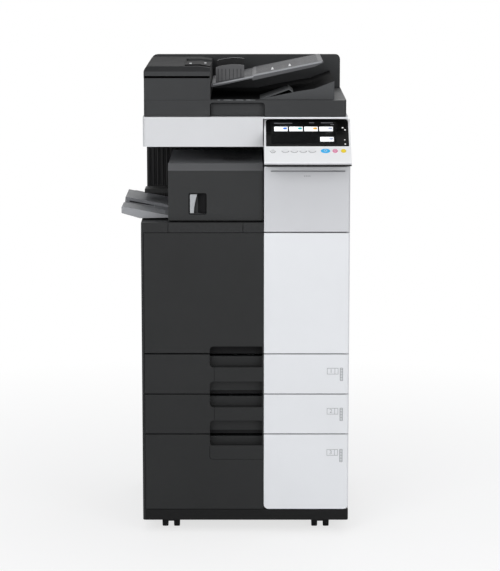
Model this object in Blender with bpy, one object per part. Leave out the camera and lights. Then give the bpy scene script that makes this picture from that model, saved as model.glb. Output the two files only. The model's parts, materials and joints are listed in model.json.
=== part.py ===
"""Floor-standing office photocopier: a cabinet on casters with three paper trays, an inner finisher,
a scanner, a document feeder and a tilted control panel. Metres, +Z up, front towards -Y.

X is 0 in the middle of the cabinet and Y is 0 half-way through it; the root empty moves the whole
machine so that its box is centred."""

import math

import bmesh
import bpy
from mathutils import Matrix, Vector

# Overall sizes that are set by themselves.
BODY_W = 0.572
BODY_D = 0.600
WHEEL_R = 0.026
LARGE_TRAY_H = 0.2142
TRAY_H = 0.1133
DOOR_H = 0.3385
DECK_H = 0.027
BAY_H = 0.2055
SCANNER_H = 0.0817
LID_H = 0.043
RIDGE_H = 0.097
FEEDER_H = 0.060
PANEL_TILT = math.radians(35.6)
PANEL_LEN = 0.1845
PANEL_T = 0.020

# Clearances and walls.
GAP = 0.0003
SEAM = 0.003
SKIN = 0.009
FRONT_T = 0.015
BASE_FLOOR = 0.006
BASE_STEP = 0.007
SHELF = 0.005
BIN_WALL = 0.006
ARC = 4
BEYOND = 0.01

# Sizes of small features.
CASTER_TRAIL = 0.012
CASTER_INSET_X = 0.076
CASTER_INSET_FRONT = 0.060
CASTER_INSET_REAR = 0.072
WHEEL_INNER = 0.008
WHEEL_OUTER = 0.0245
AXLE_R = 0.004
STEM_R = 0.006
HOLE_PLAY = 0.0003
PLINTH_STEP = 0.0065
GRIP_DEPTH = 0.028
DOOR_PIVOT = 0.003
FINISHER_FRONT = 0.016
FINISHER_DOOR_T = 0.022
FINISHER_H = 0.1605
OUTPUT_OVERHANG = 0.056
PANEL_BACK = 0.065
PANEL_DROP = 0.0075
GLASS_T = 0.004
SCAN_DEPTH = 0.046
ROLLER_R = 0.009
KEY_DEPTH = 0.006
KEY_PROUD = 0.0015
KEY_TRAVEL_ROOM = 0.0018
LEVER_DEPTH = 0.0085
GUIDE_T = 0.006
GUIDE_REACH = 0.140

# Derived planes, from the floor up and from the middle out.
HW = BODY_W / 2
FRONT = -BODY_D / 2
REAR = BODY_D / 2
SPLIT_X = 0.0885 * BODY_W
PLINTH_Z = WHEEL_R + 0.010
TRAY_Z = PLINTH_Z + 0.0323
Z_TRAY2 = TRAY_Z + LARGE_TRAY_H
Z_TRAY1 = Z_TRAY2 + TRAY_H
Z_DOOR = Z_TRAY1 + TRAY_H
Z_DECK = Z_DOOR + DOOR_H
Z_BAY = Z_DECK + DECK_H
Z_SCAN = Z_BAY + BAY_H
Z_GLASS = Z_SCAN + SCANNER_H
Z_LID = Z_GLASS + 0.002
Z_LID_TOP = Z_LID + LID_H
Z_TOP = Z_LID_TOP + RIDGE_H
BASE_TOP = TRAY_Z - 0.002
FRAME_X = HW - SKIN
FRAME_Y = FRONT + FRONT_T + 0.001
BAY_Y = BODY_D / 6
BACK_Y = REAR - 0.016
INNER_X = FRAME_X - FRONT_T
TRAY_BACK = REAR - 0.040
FINISHER_LEFT = -0.74 * HW
FINISHER_RIGHT = SPLIT_X - 0.004
TRAY_END = -HW - OUTPUT_OVERHANG
RIDGE_Y = FRONT + 0.463
LID_END = BACK_Y - 0.004
LID_LEFT = -HW + 0.009
LID_RIGHT = HW - 0.011
FEEDER_RIGHT = -0.335 * HW
FEEDER_TOP = Z_LID_TOP + FEEDER_H
UPPER_DOOR_TOP = Z_SCAN - 0.052
SHIFT_X = (-TRAY_END - HW) / 2
LIP_S = PANEL_LEN + 0.004
PANEL_TOP = Vector((0, FRONT + PANEL_BACK, Z_LID - PANEL_DROP))
DOWN = Vector((0, -math.cos(PANEL_TILT), -math.sin(PANEL_TILT)))
OUT = Vector((0, -math.sin(PANEL_TILT), math.cos(PANEL_TILT)))

AXES = {"X": (1, 2, 0), "Y": (0, 2, 1), "Z": (0, 1, 2)}

for leftover in list(bpy.data.objects):
    bpy.data.objects.remove(leftover, do_unlink=True)
SOLIDS = bpy.data.collections.new("photocopier")
CUTTERS = bpy.data.collections.new("cutters")
ROOT = bpy.data.objects.new("photocopier_centre", None)


# Helpers.

def start():
    """Puts the collections in the scene and the root where it centres the machine's box."""
    for collection in (SOLIDS, CUTTERS):
        bpy.context.scene.collection.children.link(collection)
    lip = min(point.x for point in rounded(panel_outline()))
    ROOT.location = (SHIFT_X, (-lip - REAR) / 2, 0)
    SOLIDS.objects.link(ROOT)


def material(name, colour, roughness, metallic=0.0):
    made = bpy.data.materials.new(name)
    made.use_nodes = True
    shader = made.node_tree.nodes["Principled BSDF"]
    shader.inputs["Base Color"].default_value = (*colour, 1)
    shader.inputs["Roughness"].default_value = roughness
    shader.inputs["Metallic"].default_value = metallic
    return made


def rounded(points):
    """A closed outline; each point is (a, b) or (a, b, corner radius)."""
    result = []
    count = len(points)
    for i, point in enumerate(points):
        radius = point[2] if len(point) > 2 else 0
        here = Vector(point[:2])
        if not radius:
            result.append(here)
            continue
        back = (Vector(points[i - 1][:2]) - here).normalized()
        ahead = (Vector(points[(i + 1) % count][:2]) - here).normalized()
        half = back.angle(ahead) / 2
        centre = here + (back + ahead).normalized() * radius / math.sin(half)
        first = here + back * radius / math.tan(half) - centre
        last = here + ahead * radius / math.tan(half) - centre
        sweep = first.angle_signed(last)
        for k in range(ARC + 1):
            result.append(centre + Matrix.Rotation(-sweep * k / ARC, 2) @ first)
    return result


def rect(a, b, radii=0):
    """A rectangle over spans a and b; corner radii at (lo, lo), (hi, lo), (hi, hi), (lo, hi)."""
    if not isinstance(radii, tuple):
        radii = (radii,) * 4
    corners = ((a[0], b[0]), (a[1], b[0]), (a[1], b[1]), (a[0], b[1]))
    return [(*corner, radius) for corner, radius in zip(corners, radii)]


def oval(centre, radii, count):
    turns = [2 * math.pi * k / count for k in range(count)]
    return [(centre[0] + radii[0] * math.cos(t), centre[1] + radii[1] * math.sin(t)) for t in turns]


def along(axis, across, up, level):
    """The point at a level on an axis, with the two places across it."""
    a, b, c = AXES[axis]
    point = Vector((0, 0, 0))
    point[a], point[b], point[c] = across, up, level
    return point


def settle(name, bm, look, origin=None, turn=None):
    """Makes a mesh a named object whose origin is its joint's, or a hidden cutter if it has no look."""
    bmesh.ops.recalc_face_normals(bm, faces=bm.faces)
    if turn:
        bm.transform(turn)
    origin = Vector(origin or (0, 0, 0))
    bmesh.ops.translate(bm, verts=bm.verts, vec=-origin)
    mesh = bpy.data.meshes.new(name)
    bm.to_mesh(mesh)
    bm.free()
    obj = bpy.data.objects.new(name, mesh)
    obj.parent = ROOT
    obj.location = origin
    if look:
        mesh.materials.append(look)
        SOLIDS.objects.link(obj)
    else:
        CUTTERS.objects.link(obj)
        obj.hide_render = True
        obj.display_type = "WIRE"
    return obj


def prism(name, outline, axis, span, look=None, origin=None, turn=None):
    """An outline extruded over a span of an axis."""
    bm = bmesh.new()
    flat = bm.faces.new([bm.verts.new(along(axis, *point, span[0])) for point in rounded(outline)])
    grown = bmesh.ops.extrude_face_region(bm, geom=[flat])
    moved = [item for item in grown["geom"] if isinstance(item, bmesh.types.BMVert)]
    bmesh.ops.translate(bm, verts=moved, vec=along(axis, 0, 0, span[1] - span[0]))
    return settle(name, bm, look, origin, turn)


def box(name, x, y, z, look=None, origin=None, radii=0, axis="Z"):
    """A block over three spans, with rounded edges along one axis where radii are given."""
    spans = (x, y, z)
    if radii:
        a, b, c = AXES[axis]
        return prism(name, rect(spans[a], spans[b], radii), axis, spans[c], look, origin)
    bm = bmesh.new()
    middle = Vector([(low + high) / 2 for low, high in spans])
    size = Matrix.Diagonal([high - low for low, high in spans]).to_4x4()
    bmesh.ops.create_cube(bm, size=1, matrix=Matrix.Translation(middle) @ size)
    return settle(name, bm, look, origin)


def rod(name, axis, centre, radius, span, look=None, count=20, origin=None):
    bm = bmesh.new()
    middle = along(axis, *centre, (span[0] + span[1]) / 2)
    turn = Vector((0, 0, 1)).rotation_difference(along(axis, 0, 0, 1)).to_matrix().to_4x4()
    bmesh.ops.create_cone(bm, cap_ends=True, segments=count, radius1=radius, radius2=radius,
                          depth=span[1] - span[0], matrix=Matrix.Translation(middle) @ turn)
    return settle(name, bm, look, origin)


def combine(obj, other, operation):
    modifier = obj.modifiers.new(other.name, "BOOLEAN")
    modifier.operation = operation
    modifier.solver = "EXACT"
    modifier.object = other
    return obj


def add(obj, other):
    return combine(obj, other, "UNION")


def cut(obj, other):
    return combine(obj, other, "DIFFERENCE")


def smooth(obj):
    """Shades a round piece smooth and keeps its rims sharp."""
    for face in obj.data.polygons:
        face.use_smooth = len(face.vertices) == 4
    return obj


def grown(span, by):
    return span[0] - by, span[1] + by


def on_panel(x, s, o):
    """A point on the control panel: x across, s down the slope, o out of the surface."""
    return Vector((x, 0, 0)) + PANEL_TOP + DOWN * s + OUT * o


def panel_profile(points):
    """Panel points (s, o) or (s, o, corner radius) as an outline seen along X."""
    outline = []
    for point in points:
        at = on_panel(0, point[0], point[1])
        outline.append((at.y, at.z, *point[2:]))
    return outline


def panel_outline():
    return panel_profile([(0, 0, 0.0095), (LIP_S - 0.004, 0, 0.006), (LIP_S, -PANEL_T / 2, 0.004),
                          (PANEL_LEN - 0.0145, 0.003 - PANEL_T), (PANEL_LEN - 0.0295, -PANEL_T), (0, -PANEL_T,
                                                                                                  0.0095)])


def panel_matrix(at):
    """Axes of the panel's surface at a point: across, up the slope and out."""
    turn = Matrix((Vector((1, 0, 0)), -DOWN, OUT)).transposed()
    return Matrix.Translation(at) @ turn.to_4x4()


def make_looks():
    rows = (
        ("white_cover", (0.75, 0.76, 0.77), 0.45, 0),
        ("dark_cover", (0.035, 0.036, 0.038), 0.45, 0),
        ("mid_grey", (0.20, 0.20, 0.20), 0.5, 0),
        ("light_grey", (0.45, 0.45, 0.46), 0.45, 0),
        ("steel", (0.45, 0.46, 0.47), 0.4, 1),
        ("black_glass", (0.008, 0.008, 0.01), 0.1, 0),
        ("platen", (0.10, 0.12, 0.12), 0.05, 0),
        ("rubber", (0.02, 0.02, 0.02), 0.8, 0),
        ("start_blue", (0.03, 0.45, 0.80), 0.35, 0),
        ("stop_pink", (0.75, 0.18, 0.30), 0.35, 0),
        ("reset_yellow", (0.75, 0.52, 0.01), 0.35, 0),
        ("foam", (0.85, 0.85, 0.85), 0.9, 0),
    )
    return {row[0]: material(*row) for row in rows}


# Base and casters.

def caster_places():
    for side, x in (("left", CASTER_INSET_X - HW), ("right", HW - CASTER_INSET_X)):
        for end, y in (("front", FRONT + CASTER_INSET_FRONT), ("rear", REAR - CASTER_INSET_REAR)):
            yield f"{end}_{side}", x, y


def make_base(look):
    """A pan turned upside down: a floor plate with a rim that the casters swing inside."""
    x = grown((-HW, HW), -BASE_STEP)
    y = (FRONT + 0.004, BACK_Y)
    rim_side, rim_front, rim_rear = 0.020, 0.008, 0.009
    base = box("base_plate", x, y, (PLINTH_Z, BASE_TOP), look["dark_cover"])
    cut(base, box("underside", grown(x, -rim_side), (y[0] + rim_front, y[1] - rim_rear),
                  (PLINTH_Z - BEYOND, BASE_TOP - BASE_FLOOR)))
    for name, x, y in caster_places():
        cut(base, rod("stem_hole_" + name, "Z", (x, y), STEM_R + HOLE_PLAY, (PLINTH_Z, BASE_TOP + BEYOND)))


def make_casters(look):
    plate = 2 * WHEEL_R + 0.003
    fork_top = plate + 0.002
    disc_r, disc_t = 0.018, 0.0035
    fork_x = WHEEL_INNER - GAP
    axle_x = WHEEL_OUTER - 0.0045
    for name, x, y in caster_places():
        axle_y = y + CASTER_TRAIL
        centre = (axle_y, WHEEL_R)
        outline = [(y - 0.012, fork_top), (y - 0.004, WHEEL_R - 0.008), (axle_y + 0.010, WHEEL_R - 0.012),
                   (axle_y + 0.010, fork_top)]
        fork = prism("caster_fork_" + name, outline, "X", grown((x, x), fork_x), look["dark_cover"],
                     (x, y, plate))
        add(fork, rod("fork_disc_" + name, "Z", (x, y), disc_r, (plate, plate + disc_t)))
        add(fork, rod("fork_stem_" + name, "Z", (x, y), STEM_R, (fork_top, BASE_TOP - 0.001)))
        cut(fork, rod("axle_hole_" + name, "X", centre, AXLE_R + HOLE_PLAY, grown((x, x), axle_x), count=16))
        wheels = rod("caster_wheels_" + name, "X", centre, WHEEL_R, (x - WHEEL_OUTER, x - WHEEL_INNER),
                     look["rubber"],
                     24, (x, *centre))
        add(wheels, rod("second_wheel_" + name, "X", centre, WHEEL_R, (x + WHEEL_INNER, x + WHEEL_OUTER),
                        count=24))
        add(wheels, rod("axle_" + name, "X", centre, AXLE_R, grown((x, x), axle_x), count=16))
        smooth(wheels)


# Frame and covers.

def tray_levels():
    return (("tray_3", TRAY_Z - 0.001, Z_TRAY2), ("tray_2", Z_TRAY2, Z_TRAY1), ("tray_1", Z_TRAY1, Z_DOOR))


def toner_span():
    return SPLIT_X + 0.018, INNER_X - 0.011


def grip_span():
    return -0.346 * HW, SPLIT_X - 0.004


def side_door_spans():
    return (-0.25 * BODY_D, 0.35 * BODY_D), (Z_DOOR + 0.012, Z_DECK - 0.006)


def make_frame(look):
    frame = box("main_frame", (-FRAME_X, FRAME_X), (FRAME_Y, BACK_Y - GAP), (BASE_TOP + GAP, Z_DECK),
                look["steel"])
    tower_left = SPLIT_X + 0.003
    tower = [(tower_left, FRAME_Y), (FRAME_X, FRAME_Y), (FRAME_X, BACK_Y - GAP), (-FRAME_X, BACK_Y - GAP),
             (-FRAME_X, BAY_Y), (tower_left, BAY_Y)]
    add(frame, prism("tower", tower, "Z", (Z_DECK - 0.005, Z_SCAN)))
    front = FRAME_Y - BEYOND
    for name, low, high in tray_levels():
        cut(frame, box("bay_" + name, (-INNER_X, INNER_X), (front, TRAY_BACK), (low + SHELF, high - SHELF)))
    seams = ((Z_TRAY2, 0.008), (Z_TRAY1, 0.008), (Z_DOOR, 0.024))
    for k, (seam, high) in enumerate(seams):
        cut(frame, box(f"grip_room_{k}", grip_span(), (front, FRONT + GRIP_DEPTH + 0.002),
                       (seam - 0.008, seam + high)))
    inside = (-INNER_X + 0.01, INNER_X - 0.014)
    cut(frame, box("door_bay", inside, (front, -0.020), (Z_DOOR + 0.021, Z_DECK - 0.012)))
    cut(frame, box("toner_bay", toner_span(), (front, -0.010), (Z_BAY - 0.006, Z_SCAN - 0.060)))
    cut(frame, box("rear_bay", inside, (0.115, BACK_Y + BEYOND), (Z_DOOR + 0.012, Z_SCAN - 0.014)))
    cut(frame, box("side_bay", (FRAME_X - 0.019, FRAME_X + BEYOND), *side_door_spans()))


def make_covers(look):
    low = PLINTH_Z + 0.003
    end = BACK_Y - GAP
    under_deck = Z_DECK - GAP
    plinth_y = (FRONT - BEYOND, REAR)
    side = [(FRONT, low), (end, low), (end, Z_SCAN), (BAY_Y, Z_SCAN), (BAY_Y, under_deck), (FRONT, under_deck)]
    left = prism("left_cover", side, "X", (-HW, -FRAME_X - GAP), look["dark_cover"])
    cut(left, box("left_front_step", (-HW + 0.006, -FRAME_X), (FRONT - BEYOND, FRAME_Y - GAP), (0, Z_SCAN)))
    cut(left, box("left_plinth_step", (-HW + PLINTH_STEP, -FRAME_X), plinth_y, (0, TRAY_Z)))
    right = box("right_cover", (FRAME_X + GAP, HW), (FRAME_Y, end), (low, Z_SCAN), look["light_grey"])
    cut(right, box("right_plinth_step", (FRAME_X, HW - PLINTH_STEP), plinth_y, (0, TRAY_Z)))
    cut(right, box("side_opening", (FRAME_X - 0.02, HW + 0.02), *side_door_spans()))
    make_rear_cover(look, low)
    make_deck(look)
    box("bay_liner", (-HW, SPLIT_X), (BAY_Y - 0.007, BAY_Y - GAP), (Z_BAY + GAP, Z_SCAN - GAP),
        look["dark_cover"])


def make_rear_cover(look, low):
    corner, wall, sheet = 0.005, 0.010, 0.004
    rear = box("rear_cover", (-HW, HW), (BACK_Y, REAR), (low, Z_SCAN), look["light_grey"],
               radii=(0, 0, corner, corner))
    cut(rear, box("rear_hollow", grown((-HW, HW), -wall), (BACK_Y - BEYOND, REAR - sheet),
                  (TRAY_Z + 0.06, Z_SCAN - 0.02)))
    x = (0.62 * HW, 0.62 * HW + 0.050)
    z = (TRAY_Z + 0.020, TRAY_Z + 0.052)
    cut(rear, box("inlet_hole", x, (BACK_Y - BEYOND, REAR + BEYOND), z))
    inlet = box("power_inlet", grown(x, -GAP), (BACK_Y + GAP, REAR - 0.001), grown(z, -GAP), look["rubber"])
    cut(inlet, box("inlet_socket", grown(x, -0.010), (REAR - 0.011, REAR + BEYOND), grown(z, -0.007)))


def make_deck(look):
    """The shelf under the output bay, with two joint lines on its front."""
    wall, line = 0.012, 0.001
    deck = box("deck_cover", (-HW, SPLIT_X - GAP), (FRONT, BAY_Y - GAP), (Z_DECK, Z_BAY), look["dark_cover"],
               radii=(0.004, 0, 0, 0))
    cut(deck, box("deck_hollow", (-HW + wall, SPLIT_X - wall), (FRONT + 0.02, BAY_Y - 0.01),
                  (Z_DECK - BEYOND, Z_BAY - 0.005)))
    for k, x in enumerate((FINISHER_LEFT, -0.024 * HW)):
        cut(deck, box(f"deck_seam_{k}", grown((x, x), line), (FRONT - BEYOND, FRONT + 0.003),
                      (Z_DECK - BEYOND, Z_BAY + BEYOND)))


# Trays and doors.

def dark_front_plan():
    """Plan of a dark front whose right part is a backing plate for the white front."""
    back = FRONT + FRONT_T
    step = FRONT + SKIN + GAP
    return [(-HW + PLINTH_STEP, FRONT, 0.002), (SPLIT_X - GAP, FRONT), (SPLIT_X - GAP, step),
            (HW - 0.010, step), (HW - 0.010, back), (-HW + PLINTH_STEP, back)]


def make_white_front(name, z, look, origin, low_r=0.0):
    """A white front skin; low_r rounds its two lower corners."""
    front = box(name, (SPLIT_X, HW), (FRONT, FRONT + SKIN), z, look["white_cover"], origin,
                radii=(0.001, 0.007, 0, 0))
    if low_r:
        y = (FRONT - BEYOND, FRONT + 2 * BEYOND)
        corners = box("corner_" + name, grown((SPLIT_X, HW), BEYOND), y, (z[0] - 0.02, z[0] + 0.03))
        keep = box("keep_" + name, (SPLIT_X, HW), grown(y, BEYOND), (z[0], z[0] + 0.08),
                   radii=(low_r, low_r, 0, 0), axis="Y")
        cut(corners, keep)
        cut(front, corners)


def make_grip(name, low, high, radii):
    """A cutter for a finger recess across the right of a dark front."""
    return box(name, grip_span(), (FRONT - BEYOND, FRONT + GRIP_DEPTH), (low, high), radii=radii, axis="Y")


def make_trays(look):
    under, over = (0.010, 0.004, 0, 0), (0, 0, 0.004, 0.010)
    grips = {
        "tray_1": ((Z_DOOR - 0.038, Z_DOOR + BEYOND, under), (Z_TRAY1 - BEYOND, Z_TRAY1 + 0.0355, over)),
        "tray_2": ((Z_TRAY1 - 0.0376, Z_TRAY1 + BEYOND, under), (Z_TRAY2 - BEYOND, Z_TRAY2 + 0.0384, over)),
        "tray_3": ((Z_TRAY2 - 0.0342, Z_TRAY2 + BEYOND, under),),
    }
    bin_x = grown((-INNER_X, INNER_X), -0.0005)
    space_x = grown((-INNER_X, INNER_X), -BIN_WALL)
    end = TRAY_BACK - 0.010
    for name, low, high in tray_levels():
        lowest = name == "tray_3"
        z = (low + (0.001 if lowest else SEAM / 2), high - SEAM / 2)
        axis = (0, FRONT, low)
        floor = low + SHELF + GAP
        tray = prism(name, dark_front_plan(), "Z", z, look["dark_cover"], axis)
        add(tray, box("bin_" + name, bin_x, (FRONT + FRONT_T - 0.002, end), (floor, high - 0.012)))
        cut(tray, box("space_" + name, space_x, (FRONT + 0.045, end - 0.005), (floor + SHELF, high + BEYOND)))
        for k, (grip_low, grip_high, radii) in enumerate(grips[name]):
            cut(tray, make_grip(f"grip_{name}_{k}", grip_low, grip_high, radii))
        make_white_front("front_" + name, z, look, axis, 0.013 if lowest else 0)


def door_axis(low):
    return 0, FRONT + DOOR_PIVOT, low + DOOR_PIVOT


def ease_lower_edge(door, low):
    """Takes the front corner off a door's foot, so that it turns clear of what is below."""
    ease = DOOR_PIVOT / 2
    wedge = [(FRONT - BEYOND, low - BEYOND), (FRONT + ease, low - BEYOND), (FRONT + ease, low),
             (FRONT, low + ease),
             (FRONT - BEYOND, low + ease)]
    cut(door, prism("edge_" + door.name, wedge, "X", grown((-HW, HW), BEYOND)))


def make_doors(look):
    z = (Z_DOOR + SEAM / 2, Z_DECK - SEAM / 2)
    axis = door_axis(z[0])
    door = prism("front_door", dark_front_plan(), "Z", z, look["dark_cover"], axis)
    cut(door, make_grip("grip_door", Z_DOOR - BEYOND, Z_DOOR + 0.021, (0, 0, 0.004, 0.010)))
    ease_lower_edge(door, z[0])
    make_white_front("front_door_panel", z, look, axis)
    z = (Z_DECK + SEAM / 2, UPPER_DOOR_TOP)
    upper = box("upper_door", (SPLIT_X + GAP, HW), (FRONT, FRONT + FRONT_T), z, look["white_cover"],
                door_axis(z[0]),
                radii=(0.001, 0.008, 0, 0))
    cut(upper, box("upper_groove", (SPLIT_X + 0.018, HW - 0.014), (FRONT - BEYOND, FRONT + 0.002),
                   (z[1] - 0.013, z[1] - 0.010)))
    ease_lower_edge(upper, z[0])


def make_side_door(look):
    """The door to the paper path on the right, with the bypass tray folded into it."""
    y, z = side_door_spans()
    y = (y[0] + GAP + 0.0015, y[1] - GAP)
    z = grown(z, -GAP)
    door = box("side_door", (FRAME_X - 0.019 + GAP, HW), y, z, look["light_grey"], (HW, y[1], z[0]))
    pocket_y = grown(y, -0.040)
    pocket_z = (z[0] + 0.030, z[1] - 0.040)
    pocket_x = HW - 0.013
    cut(door, box("bypass_pocket", (pocket_x, HW + BEYOND), pocket_y, pocket_z))
    low = pocket_z[0] + GAP
    middle = (y[0] + y[1]) / 2
    tray = box("bypass_tray", (pocket_x + GAP, HW), grown(pocket_y, -GAP), (low, pocket_z[1] - 0.001),
               look["light_grey"],
               (HW, middle, low))
    cut(tray, box("bypass_grip", (HW - 0.006, HW + BEYOND), grown((middle, middle), 0.045),
                  (pocket_z[1] - 0.020, pocket_z[1] + BEYOND)))


# Supplies behind the doors.

def make_supplies(look):
    make_toner(look)
    front = FRAME_Y + 0.006
    floor = Z_DOOR + 0.021 + GAP
    left, right = -INNER_X + 0.012, INNER_X - 0.016
    waste = box("waste_toner_box", (left, left + 0.180), (front, -0.060), (floor, floor + 0.090),
                look["white_cover"],
                (left, FRAME_Y, floor), radii=0.008, axis="Y")
    cut(waste, box("waste_grip", (left + 0.060, left + 0.120), (FRAME_Y, FRAME_Y + 0.022),
                   (floor + 0.045, floor + 0.070)))
    unit = box("transfer_unit", (left + 0.200, right), (front, -0.030), (floor, floor + 0.220),
               look["dark_cover"],
               (right, FRAME_Y, floor), radii=(0, 0, 0.020, 0.020), axis="Y")
    cut(unit, box("transfer_grip", (left + 0.260, right - 0.060), (FRAME_Y, FRAME_Y + 0.026),
                  (floor + 0.150, floor + 0.185)))


def make_toner(look):
    first, last = toner_span()
    pitch = (last - first) / 4
    floor = Z_BAY - 0.006 + GAP
    for k in range(4):
        x = grown((first + k * pitch, first + (k + 1) * pitch), -0.001)
        toner = box(f"toner_cartridge_{k + 1}", x, (FRAME_Y + 0.006, -0.030), (floor, Z_SCAN - 0.066),
                    look["mid_grey"],
                    (x[0], FRAME_Y, floor), radii=(0, 0, 0.012, 0.012), axis="Y")
        cut(toner, box(f"toner_grip_{k + 1}", grown(x, -0.010), (FRAME_Y, FRAME_Y + 0.016),
                       (floor + 0.030, floor + 0.060)))


# Inner finisher.

def make_finisher(look):
    front = FRONT + FINISHER_FRONT
    top = Z_BAY + FINISHER_H
    face = front + FINISHER_DOOR_T
    low = Z_BAY + 0.0035
    rear = BAY_Y - 0.010
    case = box("finisher_case", (FINISHER_LEFT + 0.001, FINISHER_RIGHT), (face, rear),
               (Z_BAY + GAP, top - 0.0015),
               look["dark_cover"], (FINISHER_LEFT, face, Z_BAY))
    cut(case, box("finisher_exit", (FINISHER_LEFT - BEYOND, FINISHER_LEFT + 0.030),
                  (FRONT + 0.10, BAY_Y - 0.05),
                  (Z_BAY + 0.040, Z_BAY + 0.062)))
    cut(case, box("finisher_inside", (FINISHER_LEFT + 0.012, FINISHER_RIGHT - 0.012),
                  (face - BEYOND, BAY_Y - 0.05),
                  (Z_BAY + 0.075, top - 0.030)))
    profile = [(front, low, 0.001), (face - GAP, low), (face - GAP, top), (front + 0.016, top, 0.004),
               (front, top - 0.019, 0.004)]
    door = prism("finisher_door", profile, "X", (FINISHER_LEFT, FINISHER_RIGHT + 0.001), look["dark_cover"],
                 (FINISHER_LEFT, front, low))
    recess_x = (FINISHER_LEFT + 0.0574, FINISHER_LEFT + 0.1038)
    recess_z = (Z_BAY + 0.022, Z_BAY + 0.078)
    cut(door, box("lever_recess", recess_x, (front - BEYOND, front + 0.016), recess_z, radii=0.004, axis="Y"))
    make_finisher_lever(look, front, recess_x[0] + 0.0005, grown(recess_z, -0.0005))
    make_output_tray(look)


def make_finisher_lever(look, front, left, z):
    lever = [(left, z[0], 0.003), (left + 0.013, z[0], 0.002), (left + 0.0205, z[0] + 0.0215),
             (left + 0.0215, z[1], 0.002),
             (left, z[1], 0.003)]
    prism("finisher_lever", lever, "Y", (front, front + 0.010), look["light_grey"],
          (left, front, z[0] - 0.0005))


def make_output_tray(look):
    """The tray left of the finisher, rising outwards, with a groove and a stepped end."""
    high, low = Z_BAY + 0.0375, Z_BAY + 0.004
    end = FINISHER_LEFT + 0.001 - GAP
    profile = [(end, low + 0.001), (end, low + 0.0085), (TRAY_END + 0.003, high), (TRAY_END, high - 0.002),
               (TRAY_END, high - 0.019), (TRAY_END + 0.051, low)]
    tray = prism("output_tray", profile, "Y", (FRONT + 0.060, BAY_Y - 0.012), look["mid_grey"],
                 (FINISHER_LEFT, FRONT + 0.06, low))
    wing_right = -HW - 0.003
    wing = [(wing_right, high - 0.0130), (TRAY_END + 0.018, high - 0.0060), (TRAY_END + 0.0165, high - 0.020),
            (TRAY_END + 0.042, low + 0.005), (wing_right, low + 0.0035)]
    add(tray, prism("tray_wing", wing, "Y", (BAY_Y - 0.020, BAY_Y + 0.070)))
    slope = (high - low - 0.0085) / (FINISHER_LEFT - TRAY_END)
    groove_right = TRAY_END + 0.085
    groove_top = high - 0.004
    fall = 0.085 * slope * 1.1
    groove = [(TRAY_END - 0.02, groove_top), (groove_right, groove_top - fall), (groove_right, high + 0.03),
              (TRAY_END - 0.02, high + 0.03)]
    groove_y = (FRONT + 0.150, FRONT + 0.215)
    cut(tray, prism("tray_groove", groove, "Y", groove_y))
    cut(tray, box("tray_step", (TRAY_END - BEYOND, TRAY_END + 0.013), (groove_y[1] - 0.005, REAR), (Z_BAY, Z_SCAN)))


# Scanner and control panel.

def make_scanner(look):
    half = HW - 0.006
    glass_x = grown((-half, half), -0.034)
    glass_y = (FRONT + 0.095, REAR - 0.085)
    room_x, room_y = grown(glass_x, -0.006), grown(glass_y, -0.006)
    housing = box("scanner_housing", (-half, half), (FRONT + 0.025, BACK_Y), (Z_SCAN + GAP, Z_GLASS),
                  look["white_cover"],
                  radii=0.009)
    cut(housing, box("glass_seat", glass_x, glass_y, (Z_GLASS - GLASS_T, Z_GLASS + BEYOND)))
    cut(housing, box("scan_space", room_x, room_y, (Z_GLASS - SCAN_DEPTH, Z_GLASS)))
    notch_back, notch_low, notch_end = -0.0015, -0.038, PANEL_LEN + 0.05
    notch = panel_profile([(notch_back, 0.03), (notch_back, notch_low), (notch_end, notch_low),
                           (notch_end, 0.03)])
    cut(housing, prism("panel_notch", notch, "X", (SPLIT_X - 0.003, HW + 0.02)))
    box("platen_glass", grown(glass_x, -GAP), grown(glass_y, -GAP), (Z_GLASS - GLASS_T + GAP, Z_GLASS - GAP),
        look["platen"])
    left = room_x[0] + 0.004
    box("scan_carriage", (left, left + 0.060), grown(room_y, -0.0005),
        (Z_GLASS - SCAN_DEPTH + GAP, Z_GLASS - 0.008),
        look["dark_cover"], (left, 0, Z_GLASS - SCAN_DEPTH))


def make_key(name, x, s, radii, look):
    """A key cap in its own pocket, pressed along the panel's normal."""
    at = on_panel(x, s, 0)
    turn = panel_matrix(at)
    pocket = oval((0, 0), (radii[0] + GAP, radii[1] + GAP), 20)
    cut(bpy.data.objects["panel_body"], prism("pocket_" + name, pocket, "Z", (-KEY_DEPTH, 0.02), None, None,
                                              turn))
    smooth(prism(name, oval((0, 0), radii, 20), "Z", (KEY_TRAVEL_ROOM - KEY_DEPTH, KEY_PROUD), look, at, turn))


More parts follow.
